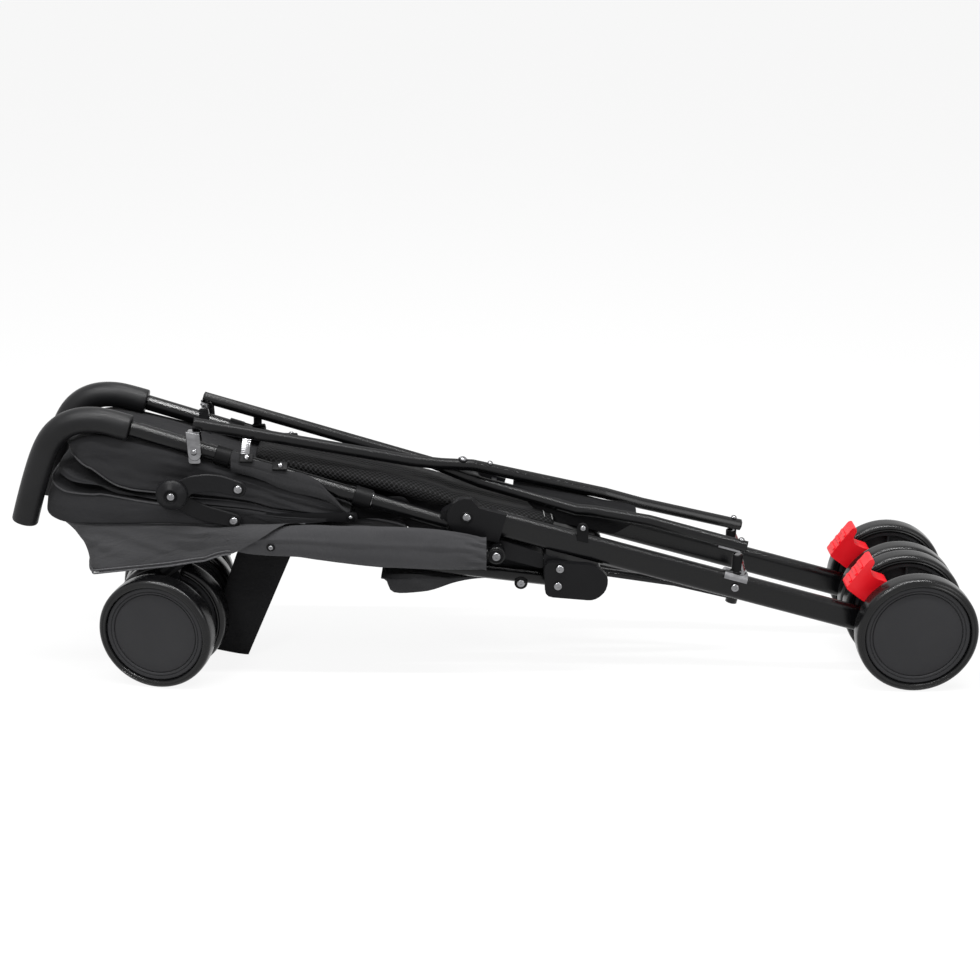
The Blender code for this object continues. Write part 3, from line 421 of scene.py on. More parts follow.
def piece(name, bm, finish, body=None, slot=None, sharp=40.0, hides=()):
    """A piece from a mesh in millimetres. It rides on a body, and stands for the CAD nodes that it hides."""
    bmesh.ops.translate(bm, vec=(-X_MID, 0.0, 0.0), verts=bm.verts)
    bmesh.ops.scale(bm, vec=(MM, MM, MM), verts=bm.verts)
    mesh = bpy.data.meshes.new(name)
    bm.to_mesh(mesh)
    bm.free()
    mesh.materials.append(finish)
    mesh.shade_smooth()
    mesh.set_sharp_from_angle(angle=math.radians(sharp))
    made = placed(name, mesh)
    if hides:
        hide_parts(*hides)
    if body:
        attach(made, body)
    return made


def closed(name, bm, *rest):
    """A piece from closed shapes, with all faces turned outwards."""
    bmesh.ops.recalc_face_normals(bm, faces=bm.faces)
    return piece(name, bm, *rest)


def subdivided(made):
    """Rounds the piece once, and turns the modifier into mesh."""
    step = made.modifiers.new("soft", "SUBSURF")
    step.levels = 1
    step.render_levels = 1
    bpy.context.view_layer.update()
    graph = bpy.context.evaluated_depsgraph_get()
    mesh = bpy.data.meshes.new_from_object(made.evaluated_get(graph))
    made.modifiers.clear()
    made.data = mesh
    return made


def cloth_grid(name, rows, finish, slot, shut=None, hides=()):
    """A sheet through rows of points, with UVs in metres along and across the cloth."""
    bm = bmesh.new()
    verts = [[bm.verts.new(p) for p in row] for row in rows]
    u_at = []
    for row in rows:
        line = [0.0]
        for a, b in zip(row, row[1:]):
            line.append(line[-1] + (Vector(b) - Vector(a)).length)
        u_at.append(line)
    v_at = [0.0]
    for low, high in zip(rows, rows[1:]):
        steps = [(Vector(b) - Vector(a)).length for a, b in zip(low, high)]
        v_at.append(v_at[-1] + sum(steps) / len(steps))
    layer = bm.loops.layers.uv.new("weave")
    for j in range(len(rows) - 1):
        for i in range(len(rows[0]) - 1):
            corners = ((j, i), (j, i + 1), (j + 1, i + 1), (j + 1, i))
            face = bm.faces.new([verts[a][b] for a, b in corners])
            for loop, (a, b) in zip(face.loops, corners):
                loop[layer].uv = (u_at[a][b] * MM, v_at[a] * MM)
    if shut:
        bmesh.ops.remove_doubles(bm, verts=bm.verts, dist=shut)
    return subdivided(piece(name, bm, finish, None, slot, CLOTH_SHARP, hides))


def join_rings(bm, rings):
    """Faces between one ring of vertices and the next."""
    count = len(rings[0])
    for low, high in zip(rings, rings[1:]):
        for k in range(count):
            j = (k + 1) % count
            bm.faces.new((low[k], low[j], high[j], high[k]))
    bm.faces.new(rings[0][::-1])
    bm.faces.new(rings[-1])


def sweep(bm, points, radius, sides, up=(0.0, 0.0, 1.0)):
    """Adds a closed tube along points to bm. Radius may be one number or one a point."""
    pts = [Vector(p) for p in points]
    count = len(pts)
    radii = radius if hasattr(radius, "__len__") else [radius] * count
    tangents = [(pts[min(count - 1, i + 1)] - pts[max(0, i - 1)]).normalized() for i in range(count)]
    side = Vector(up)
    if abs(side.dot(tangents[0])) > 0.95:
        side = Vector((0.0, 1.0, 0.0))
    rings = []
    for here, tangent, r in zip(pts, tangents, radii):
        across = tangent.cross(side).normalized()
        side = across.cross(tangent).normalized()
        ring = []
        for k in range(sides):
            turn = 2 * math.pi * k / sides
            ring.append(bm.verts.new(here + across * math.cos(turn) * r + side * math.sin(turn) * r))
        rings.append(ring)
    join_rings(bm, rings)


def smooth_run(points, steps):
    """A smooth curve through points."""
    pts = [Vector(p) for p in points]
    pts = [pts[0] * 2 - pts[1]] + pts + [pts[-1] * 2 - pts[-2]]
    out = []
    for i in range(1, len(pts) - 2):
        a, b, c, d = pts[i - 1:i + 3]
        for k in range(steps):
            t = k / steps
            out.append(0.5 * (2 * b + (c - a) * t + (2 * a - 5 * b + 4 * c - d) * t ** 2
                              + (3 * b - a - 3 * c + d) * t ** 3))
    out.append(pts[-2])
    return out


def lathe(bm, profile, centre, axis, steps):
    """Adds a turned shape. The profile's heights run along the axis from the centre.

    A point of the profile on the axis is a single vertex, and its faces are triangles.
    """
    axis = Vector(axis).normalized()
    turn = axis.to_track_quat("Z", "X").to_matrix()
    centre = Vector(centre)
    rings = []
    for r, h in profile:
        if r < 0.01:
            rings.append([bm.verts.new(centre + turn @ Vector((0.0, 0.0, h)))])
            continue
        ring = []
        for k in range(steps):
            a = 2 * math.pi * k / steps
            ring.append(bm.verts.new(centre + turn @ Vector((r * math.cos(a), r * math.sin(a), h))))
        rings.append(ring)
    for low, high in zip(rings, rings[1:]):
        for k in range(steps if len(low) + len(high) > 2 else 0):
            j = (k + 1) % steps
            corners = [low[k % len(low)], high[k % len(high)], high[j % len(high)], low[j % len(low)]]
            bm.faces.new(list(dict.fromkeys(corners)))
    return bm


def plate(bm, outline, y_low, y_high, bevel):
    """Adds a flat outline in the side view, given thickness across, with softened edges."""
    pts = [Vector(p) for p in outline]
    count = len(pts)
    centre = Vector((sum(p[0] for p in outline) / count, sum(p[1] for p in outline) / count))
    rings = []
    for inset, y in ((bevel, y_low), (0.0, y_low + bevel), (0.0, y_high - bevel), (bevel, y_high)):
        ring = []
        for i, here in enumerate(pts):
            along = pts[(i + 1) % count] - pts[i - 1]
            normal = Vector((along.y, -along.x)).normalized() if along.length else Vector((0, 0))
            if normal.dot(centre - here) < 0:
                normal = -normal
            spot = here + normal * inset
            ring.append(bm.verts.new((spot.x, y, spot.y)))
        rings.append(ring)
    join_rings(bm, rings)
    bmesh.ops.recalc_face_normals(bm, faces=bm.faces)
    return bm


def between(table, x):
    """Reads a value at x from a list of (x, value) pairs with rising x."""
    if x <= table[0][0]:
        return table[0][1]
    for (x0, v0), (x1, v1) in zip(table, table[1:]):
        if x <= x1:
            return v0 + (v1 - v0) * (x - x0) / (x1 - x0)
    return table[-1][1]


# Wheels

WHEEL_STEPS = 96
# Spokes in the hub's hollow: their count, width, depth and place along the axle
HUB_SPOKES = 8
SPOKE_WIDE = 2.2
SPOKE_DEEP = 6
SPOKE_PLACE = -5.6


def tyre_profile(radius):
    inner = radius - 9.2
    half = [(inner, 8), (inner, 11.4), (inner + 0.7, 12.4), (inner + 2, 12.8), (inner + 3, 12.3),
            (inner + 4.2, 12.5)]
    for k in range(8):
        a = math.radians(82 + (4 - 82) * k / 7)
        half.append((radius - 5.6 + 5.4 * math.cos(a), 7.4 + 5.4 * math.sin(a)))
    half += [(radius, 4.6), (radius, 1.5)]
    return half + [(r, -h) for r, h in reversed(half)]


def hub_profile(radius):
    """The hub with its plain cap: two rings round the cap outside, a hollow with a boss inside."""
    rim = radius - 9.5
    cap = radius - 18.5
    return [
        (0, 9.3), (cap * 0.35, 9.2), (cap * 0.7, 8.9), (cap - 1.2, 8.5), (cap - 0.35, 8.2), (cap - 0.1, 7.2),
        (cap + 0.6, 7.2), (cap + 0.85, 8.6), (cap + 1.4, 9.2), (cap + 3, 9.5), (cap + 3.4, 8.7),
        (cap + 4, 8.7), (cap + 4.4, 9.6), (rim - 1.6, 9.9), (rim - 0.6, 9.4),
        (rim, 8.2), (rim, -9), (rim - 1, -10.4), (rim - 4, -10.6), (rim - 5, -9.6), (rim - 5.6, -3.6),
        (18, -3.2), (15, -5), (14, -10.4), (12.6, -10.9), (5.2, -10.9), (4.8, -10.4), (4.8, 3), (0, 3),
    ]


def wheel(prefix, centre, axis, radius):
    bm = lathe(bmesh.new(), tyre_profile(radius), centre, axis, WHEEL_STEPS)
    bmesh.ops.remove_doubles(bm, verts=bm.verts, dist=0.001)
    body = prefix + "_wheel"
    closed(prefix + "_tyre_detailed", bm, RUBBER, body, "tyre", 35, [prefix + "_tyre"])
    bm = lathe(bmesh.new(), hub_profile(radius), centre, axis, WHEEL_STEPS)
    turn = Vector(axis).normalized().to_track_quat("Z", "X").to_matrix().to_4x4()
    for k in range(HUB_SPOKES):
        arm = Matrix.Rotation(2 * math.pi * k / HUB_SPOKES, 4, "Z")
        arm = arm @ Matrix.Translation(((radius + 0.5) / 2, 0, SPOKE_PLACE))
        size = Matrix.Diagonal((radius - 29, SPOKE_WIDE, SPOKE_DEEP, 1))
        place = Matrix.Translation(Vector(centre)) @ turn @ arm @ size
        bmesh.ops.create_cube(bm, size=1.0, matrix=place)
    closed(prefix + "_hub_detailed", bm, CAP, body, "hub_plastic", 28, [prefix + "_hub"])


for side, name in SIDES:
    toe = Vector((-side * math.sin(FRONT_TOE), math.cos(FRONT_TOE), 0)) * side
    for word, out, y in (("inner", -1, REAR_WHEEL_Y[0]), ("outer", 1, REAR_WHEEL_Y[1])):
        wheel(f"{name}_rear_{word}", (REAR_AXLE[0], side * y, REAR_AXLE[1]), (0, side * out, 0), REAR_WHEEL_R)
    for word, out in (("inner", -1), ("outer", 1)):
        centre = Vector((FRONT_AXLE[0], side * CASTER_Y, FRONT_AXLE[1])) + toe * FRONT_WHEEL_OFFSET * out
        wheel(f"{name}_front_{word}", centre, toe * out, FRONT_WHEEL_R)


# Grips

GRIP_R = 14.5
GRIP_RUN = [
    (-396.6, handle_z(-396.6)), (-422, 305.4), (-437.5, 307.6), (-453, 306.4), (-467.5, 301.2),
    (-479, 292.4), (-488, 280.6), (-496, 264.8), (-505, 241.5), (-514.2, 214.5), (-522.3, 188.6),
]


def grip(side, name):
    """One foam grip: it bends down from the handle tube, and both its rims are rounded."""
    pts = smooth_run([(x, side * FRAME_Y, z) for x, z in GRIP_RUN], 4)
    first = (pts[1] - pts[0]).normalized()
    last = (pts[-1] - pts[-2]).normalized()
    line = [pts[0], pts[0] + first * 0.5, pts[0] + first * 1.6] + pts[1:-1]
    line += [pts[-1] - last * 2.2, pts[-1] - last * 0.7, pts[-1]]
    radii = [13.2, 14.1] + [GRIP_R] * len(pts) + [13.9, 12.4]
    bm = bmesh.new()
    sweep(bm, line, radii, 32, (0, 1, 0))
    closed(f"{name}_grip_foam", bm, FOAM, f"{name}_handle", "foam", 50, [f"{name}_grip"])


for side, name in SIDES:
    grip(side, name)


# Bolts and rivets

# Sides of a small turned head
HEAD_STEPS = 20


def bolt(bm_steel, bm_black, centre, axis, radius, washer, height=2.6):
    """A domed steel head with a small socket, on a thin black washer."""
    dome = [(radius, 0), (radius, 0.5)]
    for k in range(1, 6):
        a = math.radians(90 * k / 6)
        dome.append((radius * math.cos(a), 0.5 + (height - 0.5) * math.sin(a)))
    dome += [(radius * 0.26, height * 0.97), (radius * 0.22, height * 0.6), (0, height * 0.55)]
    base = Vector(centre) + Vector(axis).normalized() * 0.7
    lathe(bm_steel, dome, base, axis, HEAD_STEPS)
    if washer:
        ring = [(0, 0.9), (washer - 0.5, 0.9), (washer, 0.4), (washer, -0.6), (0, -0.6)]
        lathe(bm_black, ring, centre, axis, HEAD_STEPS)


# Bolts that face sideways, on both sides: distance from the middle, place in the side view, radius, washer
SIDE_BOLTS = {
    "rear_leg": [
        (66.5, -26, 199, 5, 7), (58, 104.1, 183.4, 3.4, 5.4), (58, 277.7, 111.3, 4.8, 0),
        (61, 470, 58, 3.6, 5),
    ],
    "handle": [(85.5, 7, 160, 5, 8.2), (68, 78.6, 138, 4.8, 0), (68, 76.6, 117.3, 4.8, 0)],
    "stay_upper": [(84.3, -350, 230, 4.4, 6), (77.5, -277, 236, 4.8, 6.2)],
    "stay_lower": [(73.4, -284, 197.5, 4.8, 6.2)],
    "canopy_side": [(65.6, -155, 199, 2.6, 5)],
    "front_leg": [(46, 35.3, 112, 4.8, 7.6)],
}
# Bolts that face up, on the crossbars' foot, on the brace bars' ends and where the bars cross
TOP_BOLTS = {
    "left_crossbar": [((284, 0, 90.5), (0.2, 0, 1), 4.4, 0)],
    "right_brace": [((283.7, -49.4, 165.4), (0.23, -0.1, 1), 3.4, 0)],
    "left_brace": [
        ((288.3, 49.2, 155.6), (0.28, -0.1, 1), 3.4, 0),
        ((0, -1.6, 240.4), (0.2, -0.3, 1), 3.2, 0),
        ((-30.7, -7, 247.2), (0.2, -0.2, 1), 4.2, 5.4),
    ],
}


def bolts(body, items):
    """One body's bolts as two pieces, steel heads and black washers."""
    steel = bmesh.new()
    black = bmesh.new()
    for centre, axis, radius, washer in items:
        bolt(steel, black, centre, axis, radius, washer)
    closed(f"{body}_bolts", steel, CHROME, body, "chromed_steel")
    if black.verts:
        closed(f"{body}_washers", black, DARK_PLASTIC, body, "black_plastic")
    else:
        black.free()


for side, name in SIDES:
    for part, items in SIDE_BOLTS.items():
        bolts(f"{name}_{part}", [((x, side * y, z), (0, side, 0), r, w) for y, x, z, r, w in items])
for body, items in TOP_BOLTS.items():
    bolts(body, items)


# Canopy

# Heights along the canopy's side: the upper edge, the hem of the upper pleat, the top of the lower panel,
# and the seam
CANOPY_EDGE = [
    (-440, 292), (-432, 292), (-415, 290), (-399, 286.6), (-357, 275.8), (-337, 269.4),
    (-317, 261.5), (-262, 243.5), (-200, 223), (-170, 211.5), (-155, 203.5),
]
CANOPY_HEM = [
    (-440, 255), (-431, 248), (-421, 240), (-412, 235), (-396, 230), (-371, 227),
    (-335, 225), (-291, 220.4), (-265, 215.8), (-242, 208.5), (-200, 203), (-155, 200.5),
]
CANOPY_PANEL = [
    (-440, 224.7), (-432, 225.5), (-390, 217.8), (-370, 215), (-311, 210.5), (-274, 206.5),
    (-252, 203), (-237, 200.5), (-200, 198), (-155, 197.5),
]
CANOPY_SEAM = [
    (-440, 192), (-371, 192), (-330, 191.5), (-306, 189.3), (-249, 189), (-206, 191),
    (-165, 195), (-155, 195.8),
]
# The same four round the nose, from the corner (0) to the middle plane (1)
NOSE_EDGE = [(0, 292), (0.3, 287), (0.5, 283), (1, 280)]
NOSE_HEM = [(0, 255), (0.25, 261), (0.5, 268), (1, 270)]
NOSE_PANEL = [(0, 224.7), (0.3, 228), (0.6, 235), (1, 239)]
NOSE_SEAM = [(0, 192), (0.3, 194), (0.6, 198.5), (1, 203)]
SIDE_LINES = (CANOPY_EDGE, CANOPY_HEM, CANOPY_PANEL, CANOPY_SEAM)
NOSE_LINES = (NOSE_EDGE, NOSE_HEM, NOSE_PANEL, NOSE_SEAM)
# How far the pleats part: the gap under each hem and the depth of the valley behind it
HEM_GAP = [(-440, 16), (-425, 13), (-407, 9.5), (-385, 6.4), (-350, 4.4), (-300, 3), (-155, 0.7)]
HEM_DEPTH = [
    (-440, 26), (-425, 22), (-407, 16), (-385, 10.5), (-350, 6.5), (-291, 4.4), (-242, 2.6), (-155, 0.5),
]
PANEL_GAP = [(-440, 12), (-428, 9.5), (-410, 6.5), (-385, 4.4), (-350, 2.4), (-155, 0.8)]
PANEL_DEPTH = [
    (-440, 22), (-428, 17), (-410, 11), (-385, 7.5), (-350, 4.6), (-311, 3.6), (-237, 2.2), (-155, 0.5),
]
# Creases across the side: points, depth, width
CREASES = [
    ([(-430, 284), (-400, 274.5), (-375, 267.5), (-356, 265.5), (-337, 261), (-304, 255),
      (-287, 248.5), (-268, 241.5), (-251, 234.5), (-227, 227), (-200, 219)], 2.4, 2),
    ([(-447, 264.6), (-413, 258), (-389, 250), (-366, 246), (-330, 240), (-290, 233),
      (-256, 227.5), (-234, 220), (-208, 210.5), (-190, 205.5), (-165, 198.5)], 2, 2.2),
    ([(-418, 243), (-389, 241), (-367, 238), (-335, 233)], 1.9, 2.2),
    ([(-300, 240), (-270, 234), (-236, 226), (-205, 215)], 1.5, 1.8),
    ([(-300, 200), (-237, 197), (-200, 195.5), (-163, 195.5)], 1.3, 1.4),
    ([(-428, 212), (-398, 206), (-370, 203.5), (-340, 203)], 0.9, 3),
]
# The corner where the side turns into the nose, and where the painted highlight rolls on the pleats' ridges
# end
NOSE_START = -440
RIDGE_HIGHLIGHT_END = -352


def crease_at(x, z):
    """How far the creases push the cloth in at a place on the side. A low ridge runs under each valley."""
    total = 0
    for points, depth, width in CREASES:
        first = points[0][0]
        last = points[-1][0]
        if x < first or x > last:
            continue
        fade = min(1, (x - first) / 14, (last - x) / 22)
        t = (z - between(points, x)) / width
        total += depth * fade * (math.exp(-t * t) - 0.75 * math.exp(-((t + 2) / 1.1) ** 2))
    return total


def full_turn(count):
    """Angles once round, with the first again at the end."""
    return [2 * math.pi * (k % count) / count for k in range(count + 1)]


def walk(start, end, step):
    """Places from start to just short of end, a step apart."""
    out = []
    while (end - start) * step > 0:
        out.append(start)
        start += step
    return out


def canopy_rows():
    """The rows of the side, from the seam up: part, share of the way through it, offset, depth of a tuck."""
    shares = (0, 0.06, 0.14, 0.24, 0.35, 0.46, 0.57, 0.68, 0.79, 0.89, 0.96, 1)
    rows = [("panel", share, 4.6, 0) for share in shares]
    rows += [("panel_gap", share, 4, tuck) for share, tuck in ((0.15, 0.75), (0.6, 1), (0.9, 0.45))]
    pushes = ((0, 4.6), (0.06, 4.2), (0.18, 3.4), (0.34, 2.9), (0.5, 2.7), (0.66, 2.7), (0.82, 2.8),
              (0.94, 3.2), (1, 3.4))
    rows += [("middle", share, push, 0) for share, push in pushes]
    rows += [("hem_gap", share, 2, tuck) for share, tuck in ((0.15, 0.7), (0.55, 1), (0.88, 0.5))]
    pushes = ((0, 3.6), (0.04, 3.3), (0.1, 2.6), (0.18, 2.2), (0.27, 2), (0.36, 1.9), (0.45, 1.9),
              (0.54, 1.8), (0.63, 1.8), (0.72, 1.6), (0.81, 1.4), (0.9, 0.6), (1, -1.6))
    return rows + [("upper", share, push, 0) for share, push in pushes]


# How far the nose of each part reaches past the corner at each height
NOSE_REACH = {
    "panel": [(203, 61), (220, 58), (240, 51)],
    "panel_gap": [(225, 50), (245, 42)],
    "middle": [(228, 33), (240, 43), (247, 45), (262, 38), (270, 32)],
    "hem_gap": [(240, 36), (272, 28)],
    "upper": [(255, 18), (260, 23), (270, 28), (282, 33), (292, 35)],
}
# How far the cloth's plane lies from the middle, the lower panel's flare by its height over the seam, and the
# furthest that the cloth may stand off
CANOPY_Y = 58
PANEL_FLARE = [(0, 1), (15, 0.96), (19, 0.8), (27, 0.15), (31, 0)]
MOST_OFF = 10.8


def canopy_point(part, share, push, tuck, s, around, y_sign):
    """A point of the side or nose. s is X along the side, around is 0 at the corner and 1 at the middle."""
    tables, place = (NOSE_LINES, around) if around > 0 else (SIDE_LINES, s)
    edge, hem, panel, seam = [between(table, place) for table in tables]
    hem_gap = between(HEM_GAP, s)
    panel_gap = between(PANEL_GAP, s)
    bounds = {
        "panel": (seam, panel),
        "panel_gap": (panel, panel + panel_gap),
        "middle": (panel + panel_gap, hem - hem_gap),
        "hem_gap": (hem - hem_gap, hem),
        "upper": (hem, edge),
    }
    low, high = bounds[part]
    z = low + (high - low) * share
    depth = 0
    if part == "panel_gap":
        depth = tuck * between(PANEL_DEPTH, s)
    if part == "hem_gap":
        depth = tuck * between(HEM_DEPTH, s)
    flare = 0
    if part == "panel":
        reach = 10.6 if s < -318 else 8.8
        flare = (reach - push) * between(PANEL_FLARE, z - seam)
    slow = drift(s * 0.013 + around, y_sign * 4, z * 0.03) * 1.5
    quick = drift(s * 0.05 + around * 2, y_sign * 9, z * 0.09 + 4) * 0.5
    tail = min(1, max(0.1, (-150 - s) / 60))
    off = push * (0.35 + 0.65 * tail) + flare - depth + (slow + quick) * tail
    if around == 0 and (part != "panel" or share > 0.7):
        off -= crease_at(s, z) * tail
    off = min(off, MOST_OFF)
    wide = CANOPY_Y + off - (3 if part == "upper" and share > 0.95 else 0)
    if around == 0:
        return Vector((s, y_sign * wide, z))
    reach = between(NOSE_REACH[part], z) - depth * 0.7 + (slow + quick) * 1.4
    turn = math.radians(90 * around)
    if part == "panel":
        wide += 1.6 * math.sin(2 * turn)
    across = max(0, math.cos(turn)) ** 0.45
    return Vector((NOSE_START - reach * math.sin(turn) ** 0.72, y_sign * wide * across, z))


def canopy():
    """One folded sheet: pleats round three sides that fan out from the tail, closed over above and below."""
    half = [(x, 0) for x in walk(-156, NOSE_START + 3, -7.1)]
    half += [(NOSE_START, k / 10) for k in range(10)]
    columns = [(s, a, -1) for s, a in half] + [(NOSE_START, 1, -1)]
    columns += [(s, a, 1) for s, a in reversed(half)]
    side_rows = []
    rims = bmesh.new()
    for part, share, push, tuck in canopy_rows():
        side_rows.append([canopy_point(part, share, push, tuck, s, a, sign) for s, a, sign in columns])
        # Lighter rolls along the hem and the lower panel's top edge, towards the nose: painted highlights on
        # the pleat ridges
        if (part, share) in (("upper", 0), ("panel", 1)):
            edge = [p + Vector((0, math.copysign(0.3, p.y), 0)) for p in side_rows[-1] if p.x < RIDGE_HIGHLIGHT_END]
            sweep(rims, smooth_run(edge, 2), 0.95, 6)
    under = []
    for t in (0.5, 0.28, 0.06):
        line = []
        for p in side_rows[0]:
            sag = drift(p.x * 0.02, t * 3, 4.4) * 1.5
            z = p.z - 1.2 + (2.5 + sag) * min(1, t * 3)
            line.append(Vector((p.x + 6 * t * (p.x < -460), p.y * (1 - t), z)))
        under.append(line)
    over = []
    for t in (0.06, 0.16, 0.3, 0.46, 0.62, 0.8, 1):
        line = []
        for p in side_rows[-1]:
            far = min(1, max(0.1, (-160 - p.x) / 190))
            ridge = drift(p.x * 0.02, t * 4, 1.7) * 3
            crease = drift(p.x * 0.006, p.y * 0.09 * (1 - t) + 5, 8) * 3
            lift = (2 + ridge + crease) * far * min(1, t * 4) - 2
            back = (max(p.x, -445) - p.x) * t * 0.5
            line.append(Vector((p.x + back, p.y * (1 - t), p.z + lift)))
        over.append(line)
    made = cloth_grid("canopy_folded", under + side_rows + over, CANOPY, "dark_cloth", 0.4, ["canopy"])
    rim_piece = closed("canopy_pleat_painted_highlight", rims, PLEAT_HIGHLIGHT, None, "dark_cloth")
    for made_piece in (made, rim_piece):
        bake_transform(made_piece)
    return made


canopy_piece = canopy()


# The strip of canopy cloth that wraps each handle tube: how far up it reaches (degrees), and its lower hem
WRAP_TOP = [(-286, 78), (-262, 50), (-242, 64), (-223, 46), (-208, 66), (-190, 42), (-182, 8), (-181, 0)]
WRAP_LOW = [
    (-286, 250.5), (-268, 246.5), (-250, 240), (-236, 232.5), (-216, 225.5), (-199, 222),
    (-180, 216.5), (-166, 207), (-153, 196),
]
# From here towards the tail the strip lies flat beside the tube, and this is its upper edge
WRAP_FLAT = -181
WRAP_EDGE = [(-181, 229), (-172, 220.5), (-164, 209), (-155, 203), (-153, 200)]


def tube_wrap(side, name):
    """The strip on one handle tube, from its upper edge down to its hem, which is turned in."""
    rows = []
    for x in walk(-286, -153, 5.3):
        axis_z = handle_z(x)
        top = math.radians(between(WRAP_TOP, x))
        low = between(WRAP_LOW, x)
        line = []
        high = between(WRAP_EDGE, x)
        for k in range(9):
            turn = top * (1 - k / 8)
            if x < WRAP_FLAT:
                puff = 0.5 + 0.5 * drift(x * 0.04, k * 0.3, 2)
                out = FRAME_Y + (10.2 + puff) * math.cos(turn)
                line.append(Vector((x, side * out, axis_z + 10.6 * math.sin(turn))))
            else:
                line.append(Vector((x, side * (60.9 + 0.2 * k), high - (high - low) * 0.1 * k / 8)))
        last = line[-1].z
        for k in range(1, 13):
            t = k / 12
            wave = drift(x * 0.03, t * 2, 6) * 0.9 * math.sin(math.pi * t)
            push = 61 + wave + 1.6 * math.sin(math.pi * t * 0.9) + (1.3 if x > WRAP_FLAT else 0) * (1 - t)
            line.append(Vector((x, side * push, last + (low - last) * t)))
        line.append(Vector((x, side * (line[-1].y * side - 1.6), low + 1.4)))
        rows.append(line)
    made = cloth_grid(f"{name}_canopy_tube_wrap", rows, WRAP, "dark_cloth")
    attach(made, f"{name}_handle")
    return made


wrap_pieces = [tube_wrap(side, name) for side, name in SIDES]


# Lower canopy panel

# Its upper and lower edge along the side, from the tail to the corner, its place across, and its grid
VISOR_TOP = [(-205, 191.2), (-249, 189), (-306, 189.3), (-330, 191.3), (-371, 191.8), (-440, 191.8)]
VISOR_LOW = [(-288, 161.6), (-293, 161.2), (-303, 158), (-319, 150.5), (-360, 143.5), (-444, 134.5)]
VISOR_Y = 69.3
VISOR_COLUMNS = 34
VISOR_LEVELS = 18
# Long folds from the nose down to the hem's corner: start, end, depth
VISOR_FOLDS = [
    ((-484, 197), (-440, 139), 6.4), ((-470, 193), (-392, 141), 5),
    ((-440, 192), (-330, 150), 3.4), ((-400, 191), (-262, 178), 3.2),
]
# The arch of the panel's tail over the seat sleeve, down the cloth: width and rise
ARCH_WIDE = [(0, 68.8), (0.12, 74), (0.26, 80), (0.4, 86.2), (0.55, 89.4), (1, 89.2)]
ARCH_RISE = [(0, 0), (0.12, 4.4), (0.26, 5.6), (0.4, 1)]


def visor_columns():
    """Top and lower end of each column on one side, from the tail to the corner, then round to the middle."""
    out = []
    for k in range(VISOR_COLUMNS + 1):
        q = k / VISOR_COLUMNS * 5
        i = min(4, int(q))
        ends = []
        for line in (VISOR_TOP, VISOR_LOW):
            ends.append(tuple(a + (b - a) * (q - i) for a, b in zip(line[i], line[i + 1])))
        out.append((*ends, 0))
    corner_x, corner_z = VISOR_LOW[-1]
    for k in range(1, 11):
        a = k / 10
        out.append(((NOSE_START, between(NOSE_SEAM, a) - 0.3), (corner_x, corner_z + 7 * a), a))
    return out


def visor_point(top, low, around, f, sign):
    """A point of the panel, f of the way down a column. Its tail arches out over the seat sleeve."""
    x = top[0] + (low[0] - top[0]) * f
    z = top[1] + (low[1] - top[1]) * f
    wave = math.sin((x + 470) * 0.055 + f * 3) * 1.5 + math.sin((x + 430) * 0.021 - f * 4) * 1.8
    wave += drift(x * 0.02 + around, sign * 3, f * 2.4 + 2) * 3.2
    wave += drift(x * 0.06 + around * 3, sign * 5, f * 6 + 9)
    for start, end, depth in VISOR_FOLDS:
        run = Vector((end[0] - start[0], end[1] - start[1]))
        here = Vector((x - start[0], z - start[1]))
        t = here.dot(run) / run.length_squared
        if 0 < t < 1:
            away = (here.x * run.y - here.y * run.x) / run.length
            across = math.exp(-(away / 3.2) ** 2) - 0.7 * math.exp(-((away - 6) / 3.4) ** 2)
            wave += depth * math.sin(math.pi * t) * across
    wave *= math.sin(math.pi * min(1, f * 1.15 + 0.03)) ** 0.8
    wide = VISOR_Y + 3.4 * math.sin(math.pi * 0.5 * min(1, f * 2.2)) + wave * 0.9
    if around == 0:
        over = min(1, max(0, (x + 334) / 76))
        over = over * over * (3 - 2 * over)
        arch_z = top[1] + between(ARCH_RISE, f)
        arch_z += (low[1] - top[1] - 1) * max(0, (f - 0.4) / 0.6)
        wide += (between(ARCH_WIDE, f) + wave * 0.25 - wide) * over
        z += (arch_z - z) * over
        return Vector((x, sign * wide, z))
    turn = math.radians(90 * around)
    reach = 11 + 50 * (1 - f) ** 2.4
    x = NOSE_START - 4 * f - reach * math.sin(turn) ** 0.9 + wave * 0.2
    return Vector((x, sign * (wide * (1 - 0.05 * f)) * math.cos(turn) ** 0.7, z))


